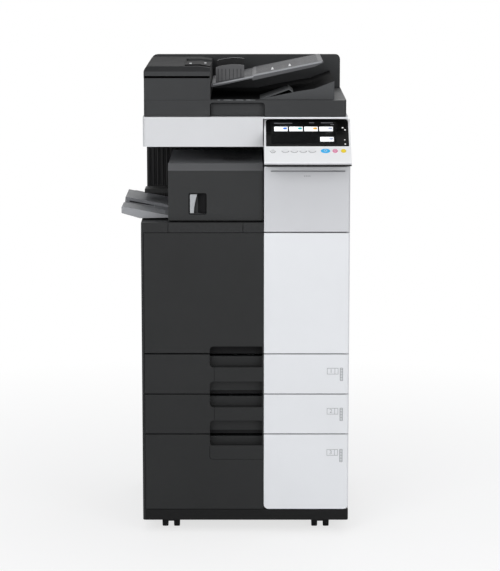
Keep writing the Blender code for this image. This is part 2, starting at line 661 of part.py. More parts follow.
def make_panel(look):
    left, right = SPLIT_X, HW - GAP
    under = -PANEL_T - GAP
    block_z = Z_SCAN - 0.0495
    arm_back = (0.008, -0.0377)
    arm = panel_profile([(0.008, under), (PANEL_LEN - 0.0345, under), (PANEL_LEN - 0.0265, under - 0.0072)])
    arm += [(FRONT, block_z), (FRAME_Y - GAP, block_z), (FRAME_Y - GAP, Z_SCAN + 0.003)]
    arm += panel_profile([arm_back])
    prism("panel_arm", arm, "X", (left + 0.004, right - 0.006), look["dark_cover"])
    body = prism("panel_body", panel_outline(), "X", (left, right), look["white_cover"],
                 on_panel(0, 0.010, -PANEL_T / 2))
    flat = panel_matrix(on_panel(0, 0, 0))
    glass_x, glass_s = (left + 0.005, right - 0.005), (-0.118, -0.006)
    glass_t = 0.003
    radii = (0.003, 0.003, 0.010, 0.010)
    cut(body, prism("glass_pocket", rect(glass_x, glass_s, radii), "Z", (-glass_t, 0.02), None, None, flat))
    prism("panel_glass", rect(grown(glass_x, -GAP), grown(glass_s, -GAP), radii), "Z", (GAP - glass_t, 0),
          look["black_glass"],
          None, flat)
    row, function_row = 0.137, 0.136
    make_key("home_key", left + 0.0236, row, (0.0055, 0.0055), look["light_grey"])
    for k in range(4):
        make_key(f"function_key_{k + 1}", left + 0.0572 + 0.0242 * k, function_row, (0.0085, 0.0055),
                 look["light_grey"])
    make_key("start_key", right - 0.0696, row, (0.0125, 0.008), look["start_blue"])
    make_key("stop_key", right - 0.0436, row, (0.0068, 0.0068), look["stop_pink"])
    make_key("reset_key", right - 0.0208, row, (0.0068, 0.0068), look["reset_yellow"])


# Document feeder.

def make_lid(look):
    """The feeder's base, which lifts off the glass, with the ridge behind and the block on the left."""
    front = FRONT + 0.028
    step = 0.001
    lid = box("adf_base", (LID_LEFT, LID_RIGHT), (front, LID_END), (Z_LID, Z_LID_TOP), look["dark_cover"],
              (0, LID_END, Z_LID), radii=(0.010, 0.010, 0.004, 0.004))
    add(lid, box("ridge", (LID_LEFT + step, LID_RIGHT - step), (RIDGE_Y, LID_END - step),
                 (Z_LID + 0.010, Z_TOP),
                 radii=(0, 0, 0.014, 0.022), axis="Y"))
    fall = [(RIDGE_Y + 0.010, Z_TOP), (LID_END + BEYOND, Z_TOP - 0.026), (LID_END + BEYOND, Z_TOP + BEYOND),
            (RIDGE_Y + 0.010, Z_TOP + BEYOND)]
    cut(lid, prism("ridge_fall", fall, "X", grown((LID_LEFT, LID_RIGHT), BEYOND)))
    add(lid, box("feeder_block", (LID_LEFT + step / 2, FEEDER_RIGHT), (front + 0.002, RIDGE_Y + 0.012),
                 (Z_LID_TOP - 0.011, FEEDER_TOP)))
    wing_left, wing_low = 0.131 * HW, Z_LID_TOP - 0.005
    wing = [(wing_left, wing_low), (HW - 0.043, wing_low), (HW - 0.043, Z_LID_TOP + 0.050),
            (HW - 0.098, Z_LID_TOP + 0.029),
            (HW - 0.147, Z_LID_TOP + 0.0213), (wing_left, Z_LID_TOP + 0.001)]
    add(lid, prism("exit_wing", wing, "Y", (FRONT + 0.060, RIDGE_Y + 0.01)))
    cut(lid, box("lid_grip", (-0.332 * HW, SPLIT_X), (front - BEYOND, front + 0.015),
                 (Z_LID - BEYOND, Z_LID_TOP - 0.008),
                 radii=(0, 0, 0.006, 0.006), axis="Y"))
    return lid


def make_pad(look, lid):
    x, y = grown((-HW, HW), -0.036), (FRONT + 0.092, REAR - 0.082)
    top = Z_LID + 0.015
    cut(lid, box("pad_seat", x, y, (Z_LID - BEYOND, top)))
    box("platen_pad", grown(x, -GAP), grown(y, -GAP), (Z_GLASS + GAP, top - GAP), look["foam"])


def make_roller(look, lid):
    x, z = FEEDER_RIGHT - 0.026, FEEDER_TOP - 0.005
    y = (FRONT + 0.210, FRONT + 0.290)
    cut(lid, box("roller_space", grown((x, x), 0.014), y, (z - 0.012, FEEDER_TOP + 0.02)))
    cut(lid, rod("roller_bearing", "Y", (x, z), AXLE_R + HOLE_PLAY, grown(y, 0.006), count=16))
    roller = rod("feed_roller", "Y", (x, z), ROLLER_R, grown(y, -0.002), look["rubber"], 24, (x, y[0], z))
    add(roller, rod("roller_shaft", "Y", (x, z), AXLE_R, grown(y, 0.005), count=16))
    smooth(roller)


def make_feeder_cover(look):
    left, right = LID_LEFT, FEEDER_RIGHT - GAP
    low, top = FEEDER_TOP + GAP, Z_TOP - 0.006
    y = (FRONT + 0.030, RIDGE_Y - GAP)
    profile = [(left, low), (right, low), (right, top - 0.004, 0.003), (FEEDER_RIGHT - 0.030, top),
               (left, top, 0.014)]
    cover = prism("feeder_cover", profile, "Y", y, look["dark_cover"], (left, y[0], low))
    across = grown((left, FEEDER_RIGHT), BEYOND)
    wall = 0.006
    cut(cover, box("cover_hollow", (left + wall, FEEDER_RIGHT - wall), grown(y, -wall),
                   (low - BEYOND, low + 0.016)))
    slope = [(y[0] - BEYOND, low + 0.018), (y[0], low + 0.018), (y[0] + 0.020, top + 0.0005),
             (y[0] + 0.020, top + 0.02),
             (y[0] - BEYOND, top + 0.02)]
    cut(cover, prism("cover_slope", slope, "X", across))
    cut(cover, box("cover_line", across, (y[0] - BEYOND, y[0] + 0.002), (low - BEYOND, low + 0.006)))
    pocket_left, pocket_floor = FEEDER_RIGHT - 0.072, top - LEVER_DEPTH
    cut(cover, box("lever_pocket", (pocket_left, FEEDER_RIGHT + BEYOND), (y[0] + 0.040, y[0] + 0.330),
                   (pocket_floor, top + 0.02)))
    lever_left, lever_floor, lever_right = pocket_left + GAP, pocket_floor + GAP, FEEDER_RIGHT - 0.001
    lever_y = (y[0] + 0.110, y[0] + 0.260)
    lever = [(lever_left, lever_floor), (lever_right, lever_floor), (lever_right, top - 0.006, 0.001),
             (FEEDER_RIGHT - 0.030, top - 0.0005, 0.004), (lever_left, top - 0.0015)]
    prism("cover_lever", lever, "Y", lever_y, look["dark_cover"], (lever_left, lever_y[0], top - 0.0015))


def make_document_tray(look):
    """The sloped tray for originals, which lifts about its round nose, and its two paper guides."""
    nose_r, thick = 0.0052, 0.0045
    pivot = (FEEDER_RIGHT + 0.0057, Z_LID_TOP + 0.035)
    end = (0.748 * HW, Z_LID_TOP + 0.1015)
    slope = (end[1] - pivot[1] - thick) / (end[0] - pivot[0])
    y = (FRONT + 0.100, FRONT + 0.400)
    step = 0.07 * HW

    def level(x, above=0.0):
        return pivot[1] + thick + slope * (x - pivot[0]) + above

    turns = (-1.2, -0.6, 0, 0.6, 1.2)
    profile = [(pivot[0] - nose_r * math.cos(t), pivot[1] + nose_r * math.sin(t)) for t in turns]
    profile += [(pivot[0] + 0.005, level(pivot[0] + 0.005)), (end[0], level(end[0]), 0.002),
                (end[0], level(end[0], -0.004), 0.0015), (end[0] - 0.024, level(end[0] - 0.024, -0.010)),
                (step, level(step, -0.013)), (step - 0.002, level(step, -0.008))]
    middle = (y[0] + y[1]) / 2
    prism("document_tray", profile, "Y", y, look["mid_grey"], (pivot[0], middle, pivot[1]))
    left, right = FEEDER_RIGHT + 0.014, FEEDER_RIGHT + 0.092
    guide = [(left, level(left, GAP)), (right, level(right, GAP)), (right, level(right, 0.006)),
             (left + 0.060, Z_TOP - 0.004, 0.010), (left + 0.010, Z_TOP - 0.010, 0.008), (left,
                                                                                          level(left, 0.020))]
    for name, sign in (("front_guide", -1), ("rear_guide", 1)):
        at = middle + sign * GUIDE_REACH
        prism(name, guide, "Y", grown((at, at), GUIDE_T / 2), look["light_grey"], (left, at, level(left)))


def build():
    start()
    look = make_looks()
    make_base(look)
    make_casters(look)
    make_frame(look)
    make_covers(look)
    make_trays(look)
    make_doors(look)
    make_side_door(look)
    make_supplies(look)
    make_finisher(look)
    make_scanner(look)
    make_panel(look)
    lid = make_lid(look)
    make_pad(look, lid)
    make_roller(look, lid)
    make_feeder_cover(look)
    make_document_tray(look)


build()
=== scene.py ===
"""The office photocopier in full detail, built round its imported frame."""

import json
import math

import bmesh
import bpy
from mathutils import Matrix, Vector


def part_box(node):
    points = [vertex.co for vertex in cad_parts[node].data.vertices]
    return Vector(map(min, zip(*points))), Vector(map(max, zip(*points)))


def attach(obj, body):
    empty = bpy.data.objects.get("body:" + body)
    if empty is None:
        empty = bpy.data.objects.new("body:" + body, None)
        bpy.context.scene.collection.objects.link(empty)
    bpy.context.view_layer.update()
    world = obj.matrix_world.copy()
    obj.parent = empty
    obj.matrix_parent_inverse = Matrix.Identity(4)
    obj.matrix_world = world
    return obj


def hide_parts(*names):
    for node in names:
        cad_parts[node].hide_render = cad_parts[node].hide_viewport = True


# ---------------------------------------------------------------- frame and places

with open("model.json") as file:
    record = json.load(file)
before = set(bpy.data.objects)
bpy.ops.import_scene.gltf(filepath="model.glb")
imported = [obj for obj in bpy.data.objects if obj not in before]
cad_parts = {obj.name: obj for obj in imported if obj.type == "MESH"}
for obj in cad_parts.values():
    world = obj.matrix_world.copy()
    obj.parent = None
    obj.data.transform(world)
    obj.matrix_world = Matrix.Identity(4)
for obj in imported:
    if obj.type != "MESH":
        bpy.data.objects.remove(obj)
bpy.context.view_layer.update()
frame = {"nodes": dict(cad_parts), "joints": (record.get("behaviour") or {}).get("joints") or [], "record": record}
NODES = frame["nodes"]
RECORD = frame["record"]
JOINTS = {joint["name"]: joint for joint in frame["joints"]}
BODY = {node: body for body, nodes in RECORD["behaviour"]["bodies"].items() for node in nodes}

MM = 0.001
# Each axis, as the two directions across it and its own.
AXES = {"X": (1, 2, 0), "Y": (0, 2, 1), "Z": (0, 1, 2)}


def lo(node):
    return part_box(node)[0]


def hi(node):
    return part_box(node)[1]


def mid(node):
    return (lo(node) + hi(node)) / 2


def about(centre, half):
    """The span that reaches half to each side of a centre."""
    return centre - half, centre + half


CENTRE_X = mid("main_frame").x
HALF_W = hi("front_door_panel").x - CENTRE_X
FRONT_Y = lo("front_door_panel").y
SPLIT_X = lo("front_door_panel").x
KEY_AXIS = Vector(JOINTS["start_key_press"]["axis"])
PANEL_OUT = -KEY_AXIS
PANEL_DOWN = Vector((0, -PANEL_OUT.z, PANEL_OUT.y))
PANEL_PIVOT = Vector(JOINTS["panel_tilt"]["pos_m"])
PIVOT_DEPTH = 10 * MM


def on_panel(x, s, o=0.0):
    """A point on the control panel: s down its slope from the top edge, o out of it."""
    point = PANEL_PIVOT + PANEL_DOWN * (s - PIVOT_DEPTH) + PANEL_OUT * (o + PIVOT_DEPTH)
    return Vector((x, point.y, point.z))


def panel_frame(origin):
    """Local X across the panel, local Y up its slope, local Z out of it."""
    frame_at = Matrix.Identity(4)
    for axis, vector in enumerate((Vector((1, 0, 0)), -PANEL_DOWN, PANEL_OUT, origin)):
        for row in range(3):
            frame_at[row][axis] = vector[row]
    return frame_at


def front_frame(x, y, z):
    """Local X across a front face, local Y up it, local Z out of it towards the user."""
    return Matrix.Translation((x, y, z)) @ Matrix.Rotation(math.radians(90), 4, "X")


# ---------------------------------------------------------------- node groups

def new_group(name, inputs, outputs):
    tree = bpy.data.node_groups.new(name, "ShaderNodeTree")
    for label, kind, default in inputs:
        socket = tree.interface.new_socket(name=label, in_out="INPUT", socket_type=kind)
        if default is not None:
            socket.default_value = default
    for label, kind in outputs:
        tree.interface.new_socket(name=label, in_out="OUTPUT", socket_type=kind)
    return tree, tree.nodes.new("NodeGroupInput"), tree.nodes.new("NodeGroupOutput")


def wire(tree, *pairs):
    for source, target in pairs:
        tree.links.new(source, target)


def node(tree, kind, **settings):
    made = tree.nodes.new(kind)
    for key, value in settings.items():
        if key in made.inputs:
            made.inputs[key].default_value = value
        else:
            setattr(made, key, value)
    return made


def math_node(tree, operation, a, b):
    made = tree.nodes.new("ShaderNodeMath")
    made.operation = operation
    for slot, value in zip(made.inputs, (a, b)):
        if isinstance(value, (int, float)):
            slot.default_value = value
        else:
            tree.links.new(value, slot)
    return made.outputs[0]


def noise(tree, vector, scale, detail, roughness=0.5):
    made = tree.nodes.new("ShaderNodeTexNoise")
    made.inputs["Detail"].default_value = detail
    made.inputs["Roughness"].default_value = roughness
    if isinstance(scale, (int, float)):
        made.inputs["Scale"].default_value = scale
    else:
        tree.links.new(scale, made.inputs["Scale"])
    tree.links.new(vector, made.inputs["Vector"])
    return made.outputs["Fac"]


def spread(tree, value, low, high, to_low, to_high):
    made = tree.nodes.new("ShaderNodeMapRange")
    for key, number in zip(("From Min", "From Max", "To Min", "To Max"),
                           (low, high, to_low, to_high)):
        if isinstance(number, (int, float)):
            made.inputs[key].default_value = number
        else:
            tree.links.new(number, made.inputs[key])
    tree.links.new(value, made.inputs["Value"])
    return made.outputs["Result"]


# A colour Mix node's own sockets, which share their names with its other kinds.
MIX_SHARE, MIX_FIRST, MIX_SECOND, MIX_RESULT = 0, 6, 7, 2


def make_grain_group():
    """The fine spark-eroded texture of moulded plastic: a height, and specks that catch light."""
    tree, given, out = new_group(
        "moulded texture",
        (("Vector", "NodeSocketVector", None), ("Pitch", "NodeSocketFloat", 900.0)),
        (("Height", "NodeSocketFloat"), ("Specks", "NodeSocketFloat")),
    )
    coarse = noise(tree, given.outputs["Vector"], given.outputs["Pitch"], 2.0, 0.6)
    finer = math_node(tree, "MULTIPLY", given.outputs["Pitch"], 2.7)
    cells = node(tree, "ShaderNodeTexVoronoi", feature="F1")
    wire(tree, (given.outputs["Vector"], cells.inputs["Vector"]), (finer, cells.inputs["Scale"]))
    bumps = math_node(tree, "MULTIPLY", cells.outputs["Distance"], 0.6)
    height = math_node(tree, "SUBTRACT", coarse, bumps)
    specks = spread(tree, coarse, 0.62, 0.78, 0.0, 1.0)
    wire(tree, (height, out.inputs["Height"]), (specks, out.inputs["Specks"]))
    return tree


def make_drift_group():
    """Slow change of tone over a large moulding, and the faint settling of dust on flat tops."""
    tree, given, out = new_group(
        "tone drift",
        (("Vector", "NodeSocketVector", None), ("Colour", "NodeSocketColor", None),
         ("Amount", "NodeSocketFloat", 0.05), ("Dust", "NodeSocketFloat", 0.02)),
        (("Colour", "NodeSocketColor"), ("Mask", "NodeSocketFloat")),
    )
    slow = noise(tree, given.outputs["Vector"], 4.0, 3.0)
    shift = spread(tree, slow, 0.3, 0.7, -1.0, 1.0)
    shift = math_node(tree, "MULTIPLY", shift, given.outputs["Amount"])
    gain = math_node(tree, "ADD", shift, 1.0)
    bright = node(tree, "ShaderNodeHueSaturation")
    wire(tree, (given.outputs["Colour"], bright.inputs["Color"]), (gain, bright.inputs["Value"]))
    normal = node(tree, "ShaderNodeNewGeometry")
    split = node(tree, "ShaderNodeSeparateXYZ")
    wire(tree, (normal.outputs["Normal"], split.inputs["Vector"]))
    tops = spread(tree, split.outputs["Z"], 0.6, 1.0, 0.0, 1.0)
    flecks = noise(tree, given.outputs["Vector"], 260.0, 4.0, 0.7)
    dust = math_node(tree, "MULTIPLY", tops, spread(tree, flecks, 0.35, 0.75, 0.0, 1.0))
    dust = math_node(tree, "MULTIPLY", dust, given.outputs["Dust"])
    mixed = node(tree, "ShaderNodeMix", data_type="RGBA")
    mixed.inputs[MIX_SECOND].default_value = (0.5, 0.5, 0.5, 1)
    wire(tree, (dust, mixed.inputs[MIX_SHARE]), (bright.outputs["Color"], mixed.inputs[MIX_FIRST]))
    wire(tree, (mixed.outputs[MIX_RESULT], out.inputs["Colour"]), (slow, out.inputs["Mask"]))
    return tree


def make_handling_group():
    """Roughness that varies as hands and cloths leave it: long wiped smears and small prints."""
    tree, given, out = new_group(
        "handling marks",
        (("Vector", "NodeSocketVector", None), ("Roughness", "NodeSocketFloat", 0.4),
         ("Amount", "NodeSocketFloat", 0.06)),
        (("Roughness", "NodeSocketFloat"),),
    )
    stretch = node(tree, "ShaderNodeMapping")
    stretch.inputs["Scale"].default_value = (6, 6, 22)
    wire(tree, (given.outputs["Vector"], stretch.inputs["Vector"]))
    smears = noise(tree, stretch.outputs["Vector"], 1.0, 4.0, 0.6)
    prints = noise(tree, given.outputs["Vector"], 42.0, 2.0)
    both = math_node(tree, "ADD", smears, math_node(tree, "MULTIPLY", prints, 0.5))
    swing = spread(tree, both, 0.5, 1.0, -1.0, 1.0)
    swing = math_node(tree, "MULTIPLY", swing, given.outputs["Amount"])
    wire(tree, (math_node(tree, "ADD", given.outputs["Roughness"], swing), out.inputs["Roughness"]))
    return tree


def make_wear_group():
    """Paler edges and corners: partly wear where paper, hands and shoes rub, partly a painted highlight along the
    convex edges.
    """
    tree, given, out = new_group(
        "paler edges, wear and painted highlight",
        (("Vector", "NodeSocketVector", None), ("Colour", "NodeSocketColor", None),
         ("Rubbed", "NodeSocketColor", None), ("Amount", "NodeSocketFloat", 0.4)),
        (("Colour", "NodeSocketColor"), ("Mask", "NodeSocketFloat")),
    )
    shape = node(tree, "ShaderNodeNewGeometry")
    edge = spread(tree, shape.outputs["Pointiness"], 0.53, 0.62, 0.0, 1.0)
    broken = spread(tree, noise(tree, given.outputs["Vector"], 120.0, 4.0, 0.7), 0.4, 0.7, 0.0, 1.0)
    mask = math_node(tree, "MULTIPLY", math_node(tree, "MULTIPLY", edge, broken),
                     given.outputs["Amount"])
    mixed = node(tree, "ShaderNodeMix", data_type="RGBA")
    wire(tree, (mask, mixed.inputs[MIX_SHARE]), (given.outputs["Colour"], mixed.inputs[MIX_FIRST]),
         (given.outputs["Rubbed"], mixed.inputs[MIX_SECOND]))
    wire(tree, (mixed.outputs[MIX_RESULT], out.inputs["Colour"]), (mask, out.inputs["Mask"]))
    return tree


GRAIN = make_grain_group()
DRIFT = make_drift_group()
HANDLING = make_handling_group()
PALE_EDGES = make_wear_group()


def place_group(tree, group, **values):
    made = tree.nodes.new("ShaderNodeGroup")
    made.node_tree = group
    for key, value in values.items():
        if hasattr(value, "is_output"):
            tree.links.new(value, made.inputs[key])
        else:
            made.inputs[key].default_value = value
    return made


# ---------------------------------------------------------------- materials

LOOKS = {}


def start_material(name):
    made = bpy.data.materials.new(name)
    made.use_nodes = True
    tree = made.node_tree
    shader = tree.nodes["Principled BSDF"]
    place = tree.nodes.new("ShaderNodeTexCoord").outputs["Object"]
    LOOKS[name] = made
    return made, tree, shader, place


def add_bump(tree, shader, height, depth):
    bump = tree.nodes.new("ShaderNodeBump")
    bump.inputs["Distance"].default_value = depth
    wire(tree, (height, bump.inputs["Height"]), (bump.outputs["Normal"], shader.inputs["Normal"]))


def rgba(colour):
    return (*colour, 1.0)


def plastic(name, colour, roughness, pitch, depth, drift, dust, pale_edge_amount=0.0,
            pale_edge_colour=(0.5, 0.5, 0.5), handling=0.05, coat=0.0, shine=0.5):
    """Moulded plastic: pitch and depth of its texture, drift of its tone, dust on its tops."""
    made, tree, shader, place = start_material(name)
    grain = place_group(tree, GRAIN, Vector=place, Pitch=pitch)
    tone = place_group(tree, DRIFT, Vector=place, Colour=rgba(colour), Amount=drift, Dust=dust)
    # Paler convex edges: partly wear, partly a painted highlight.
    pale_edged = place_group(tree, PALE_EDGES, Vector=place, Colour=tone.outputs["Colour"],
                       Rubbed=rgba(pale_edge_colour), Amount=pale_edge_amount)
    marks = place_group(tree, HANDLING, Vector=place, Roughness=roughness, Amount=handling)
    wire(tree, (pale_edged.outputs["Colour"], shader.inputs["Base Color"]),
         (marks.outputs["Roughness"], shader.inputs["Roughness"]))
    add_bump(tree, shader, grain.outputs["Height"], depth)
    shader.inputs["Coat Weight"].default_value = coat
    shader.inputs["Coat Roughness"].default_value = 0.12
    shader.inputs["Specular IOR Level"].default_value = shine
    return made


def galvanised(name):
    """Zinc-coated sheet with its small crystals, each of its own tone and gloss."""
    made, tree, shader, place = start_material(name)
    flakes = node(tree, "ShaderNodeTexVoronoi", feature="F1")
    flakes.inputs["Scale"].default_value = 150.0
    flakes.inputs["Randomness"].default_value = 1.0
    wire(tree, (place, flakes.inputs["Vector"]))
    tint = node(tree, "ShaderNodeSeparateColor")
    wire(tree, (flakes.outputs["Color"], tint.inputs["Color"]))
    ramp = tree.nodes.new("ShaderNodeValToRGB")
    ramp.color_ramp.elements[0].color = (0.46, 0.48, 0.50, 1)
    ramp.color_ramp.elements[1].color = (0.55, 0.57, 0.59, 1)
    wire(tree, (tint.outputs["Red"], ramp.inputs["Fac"]),
         (ramp.outputs["Color"], shader.inputs["Base Color"]))
    wire(tree, (spread(tree, tint.outputs["Green"], 0.0, 1.0, 0.38, 0.46),
                shader.inputs["Roughness"]))
    add_bump(tree, shader, noise(tree, place, 700.0, 2.0), 0.00004)
    shader.inputs["Metallic"].default_value = 0.85
    return made


def bright_metal(name, colour, roughness):
    """Drawn steel, with fine lines across its height."""
    made, tree, shader, place = start_material(name)
    turn = node(tree, "ShaderNodeMapping")
    turn.inputs["Scale"].default_value = (1, 1, 60)
    wire(tree, (place, turn.inputs["Vector"]))
    lines = noise(tree, turn.outputs["Vector"], 240.0, 3.0, 0.6)
    tone = place_group(tree, DRIFT, Vector=place, Colour=rgba(colour), Amount=0.06, Dust=0.0)
    wire(tree, (tone.outputs["Colour"], shader.inputs["Base Color"]))
    wire(tree, (spread(tree, lines, 0.3, 0.7, roughness - 0.06, roughness + 0.08),
                shader.inputs["Roughness"]))
    add_bump(tree, shader, lines, 0.00002)
    shader.inputs["Metallic"].default_value = 1.0
    return made


def screen_black(name, colour, roughness):
    """The near-black glass of the display and the field behind it."""
    made, tree, shader, place = start_material(name)
    marks = place_group(tree, HANDLING, Vector=place, Roughness=roughness, Amount=0.05)
    tone = place_group(tree, DRIFT, Vector=place, Colour=rgba(colour), Amount=0.15, Dust=0.0)
    wire(tree, (marks.outputs["Roughness"], shader.inputs["Roughness"]),
         (tone.outputs["Colour"], shader.inputs["Base Color"]))
    shader.inputs["Specular IOR Level"].default_value = 0.12
    return made


def lit(name, colour, strength):
    """A part of the display that gives light of its own."""
    made, tree, shader, place = start_material(name)
    tone = place_group(tree, DRIFT, Vector=place, Colour=rgba(colour), Amount=0.05, Dust=0.0)
    marks = place_group(tree, HANDLING, Vector=place, Roughness=0.3, Amount=0.04)
    wire(tree, (tone.outputs["Colour"], shader.inputs["Base Color"]),
         (tone.outputs["Colour"], shader.inputs["Emission Color"]),
         (marks.outputs["Roughness"], shader.inputs["Roughness"]))
    shader.inputs["Emission Strength"].default_value = strength
    shader.inputs["Coat Weight"].default_value = 0.5
    return made


def clear_glass(name):
    made, tree, shader, place = start_material(name)
    marks = place_group(tree, HANDLING, Vector=place, Roughness=0.05, Amount=0.03)
    wire(tree, (marks.outputs["Roughness"], shader.inputs["Roughness"]))
    shader.inputs["Base Color"].default_value = (0.86, 0.95, 0.92, 1)
    shader.inputs["Transmission Weight"].default_value = 1.0
    shader.inputs["IOR"].default_value = 1.5
    return made


def rubber(name, colour, roughness=0.7):
    made, tree, shader, place = start_material(name)
    grain = place_group(tree, GRAIN, Vector=place, Pitch=500.0)
    tone = place_group(tree, DRIFT, Vector=place, Colour=rgba(colour), Amount=0.2, Dust=0.12)
    marks = place_group(tree, HANDLING, Vector=place, Roughness=roughness, Amount=0.1)
    wire(tree, (tone.outputs["Colour"], shader.inputs["Base Color"]),
         (marks.outputs["Roughness"], shader.inputs["Roughness"]))
    add_bump(tree, shader, grain.outputs["Height"], 0.0002)
    shader.inputs["Specular IOR Level"].default_value = 0.25
    return made


def paper(name):
    """A ream: the sides show the sheets as fine level lines, the top is plain."""
    made, tree, shader, place = start_material(name)
    split = node(tree, "ShaderNodeSeparateXYZ")
    wire(tree, (place, split.inputs["Vector"]))
    level = math_node(tree, "MULTIPLY", split.outputs["Z"], 2600.0)
    jitter = math_node(tree, "MULTIPLY", noise(tree, place, 35.0, 2.0), 6.0)
    lines = math_node(tree, "SINE", math_node(tree, "ADD", level, jitter), 0.0)
    shade = spread(tree, lines, -1.0, 1.0, 0.86, 1.0)
    shape = node(tree, "ShaderNodeNewGeometry")
    facing = node(tree, "ShaderNodeSeparateXYZ")
    wire(tree, (shape.outputs["Normal"], facing.inputs["Vector"]))
    side = spread(tree, facing.outputs["Z"], 0.2, 0.8, 1.0, 0.0)
    change = math_node(tree, "MULTIPLY", math_node(tree, "SUBTRACT", shade, 1.0), side)
    value = math_node(tree, "ADD", change, 1.0)
    tone = node(tree, "ShaderNodeHueSaturation")
    tone.inputs["Color"].default_value = (0.86, 0.86, 0.84, 1)
    wire(tree, (value, tone.inputs["Value"]), (tone.outputs["Color"], shader.inputs["Base Color"]))
    add_bump(tree, shader, math_node(tree, "MULTIPLY", lines, side), 0.00008)
    shader.inputs["Roughness"].default_value = 0.85
    return made


def foam(name):
    made, tree, shader, place = start_material(name)
    cells = node(tree, "ShaderNodeTexVoronoi", feature="F1")
    cells.inputs["Scale"].default_value = 900.0
    wire(tree, (place, cells.inputs["Vector"]))
    tone = place_group(tree, DRIFT, Vector=place, Colour=rgba((0.80, 0.80, 0.79)),
                       Amount=0.04, Dust=0.0)
    wire(tree, (tone.outputs["Colour"], shader.inputs["Base Color"]))
    add_bump(tree, shader, cells.outputs["Distance"], 0.0002)
    shader.inputs["Roughness"].default_value = 0.9
    shader.inputs["Sheen Weight"].default_value = 0.2
    return made


def ribbed_dark(name, pitch, colour):
    """Fine upright ribs moulded into a dark wall."""
    made, tree, shader, place = start_material(name)
    split = node(tree, "ShaderNodeSeparateXYZ")
    wire(tree, (place, split.inputs["Vector"]))
    turn = math_node(tree, "MULTIPLY", split.outputs["X"], 2 * math.pi / pitch)
    wave = math_node(tree, "SINE", turn, 0.0)
    tone = place_group(tree, DRIFT, Vector=place, Colour=rgba(colour), Amount=0.1, Dust=0.0)
    wire(tree, (tone.outputs["Colour"], shader.inputs["Base Color"]))
    add_bump(tree, shader, wave, 0.0006)
    shader.inputs["Roughness"].default_value = 0.55
    shader.inputs["Specular IOR Level"].default_value = 0.25
    return made


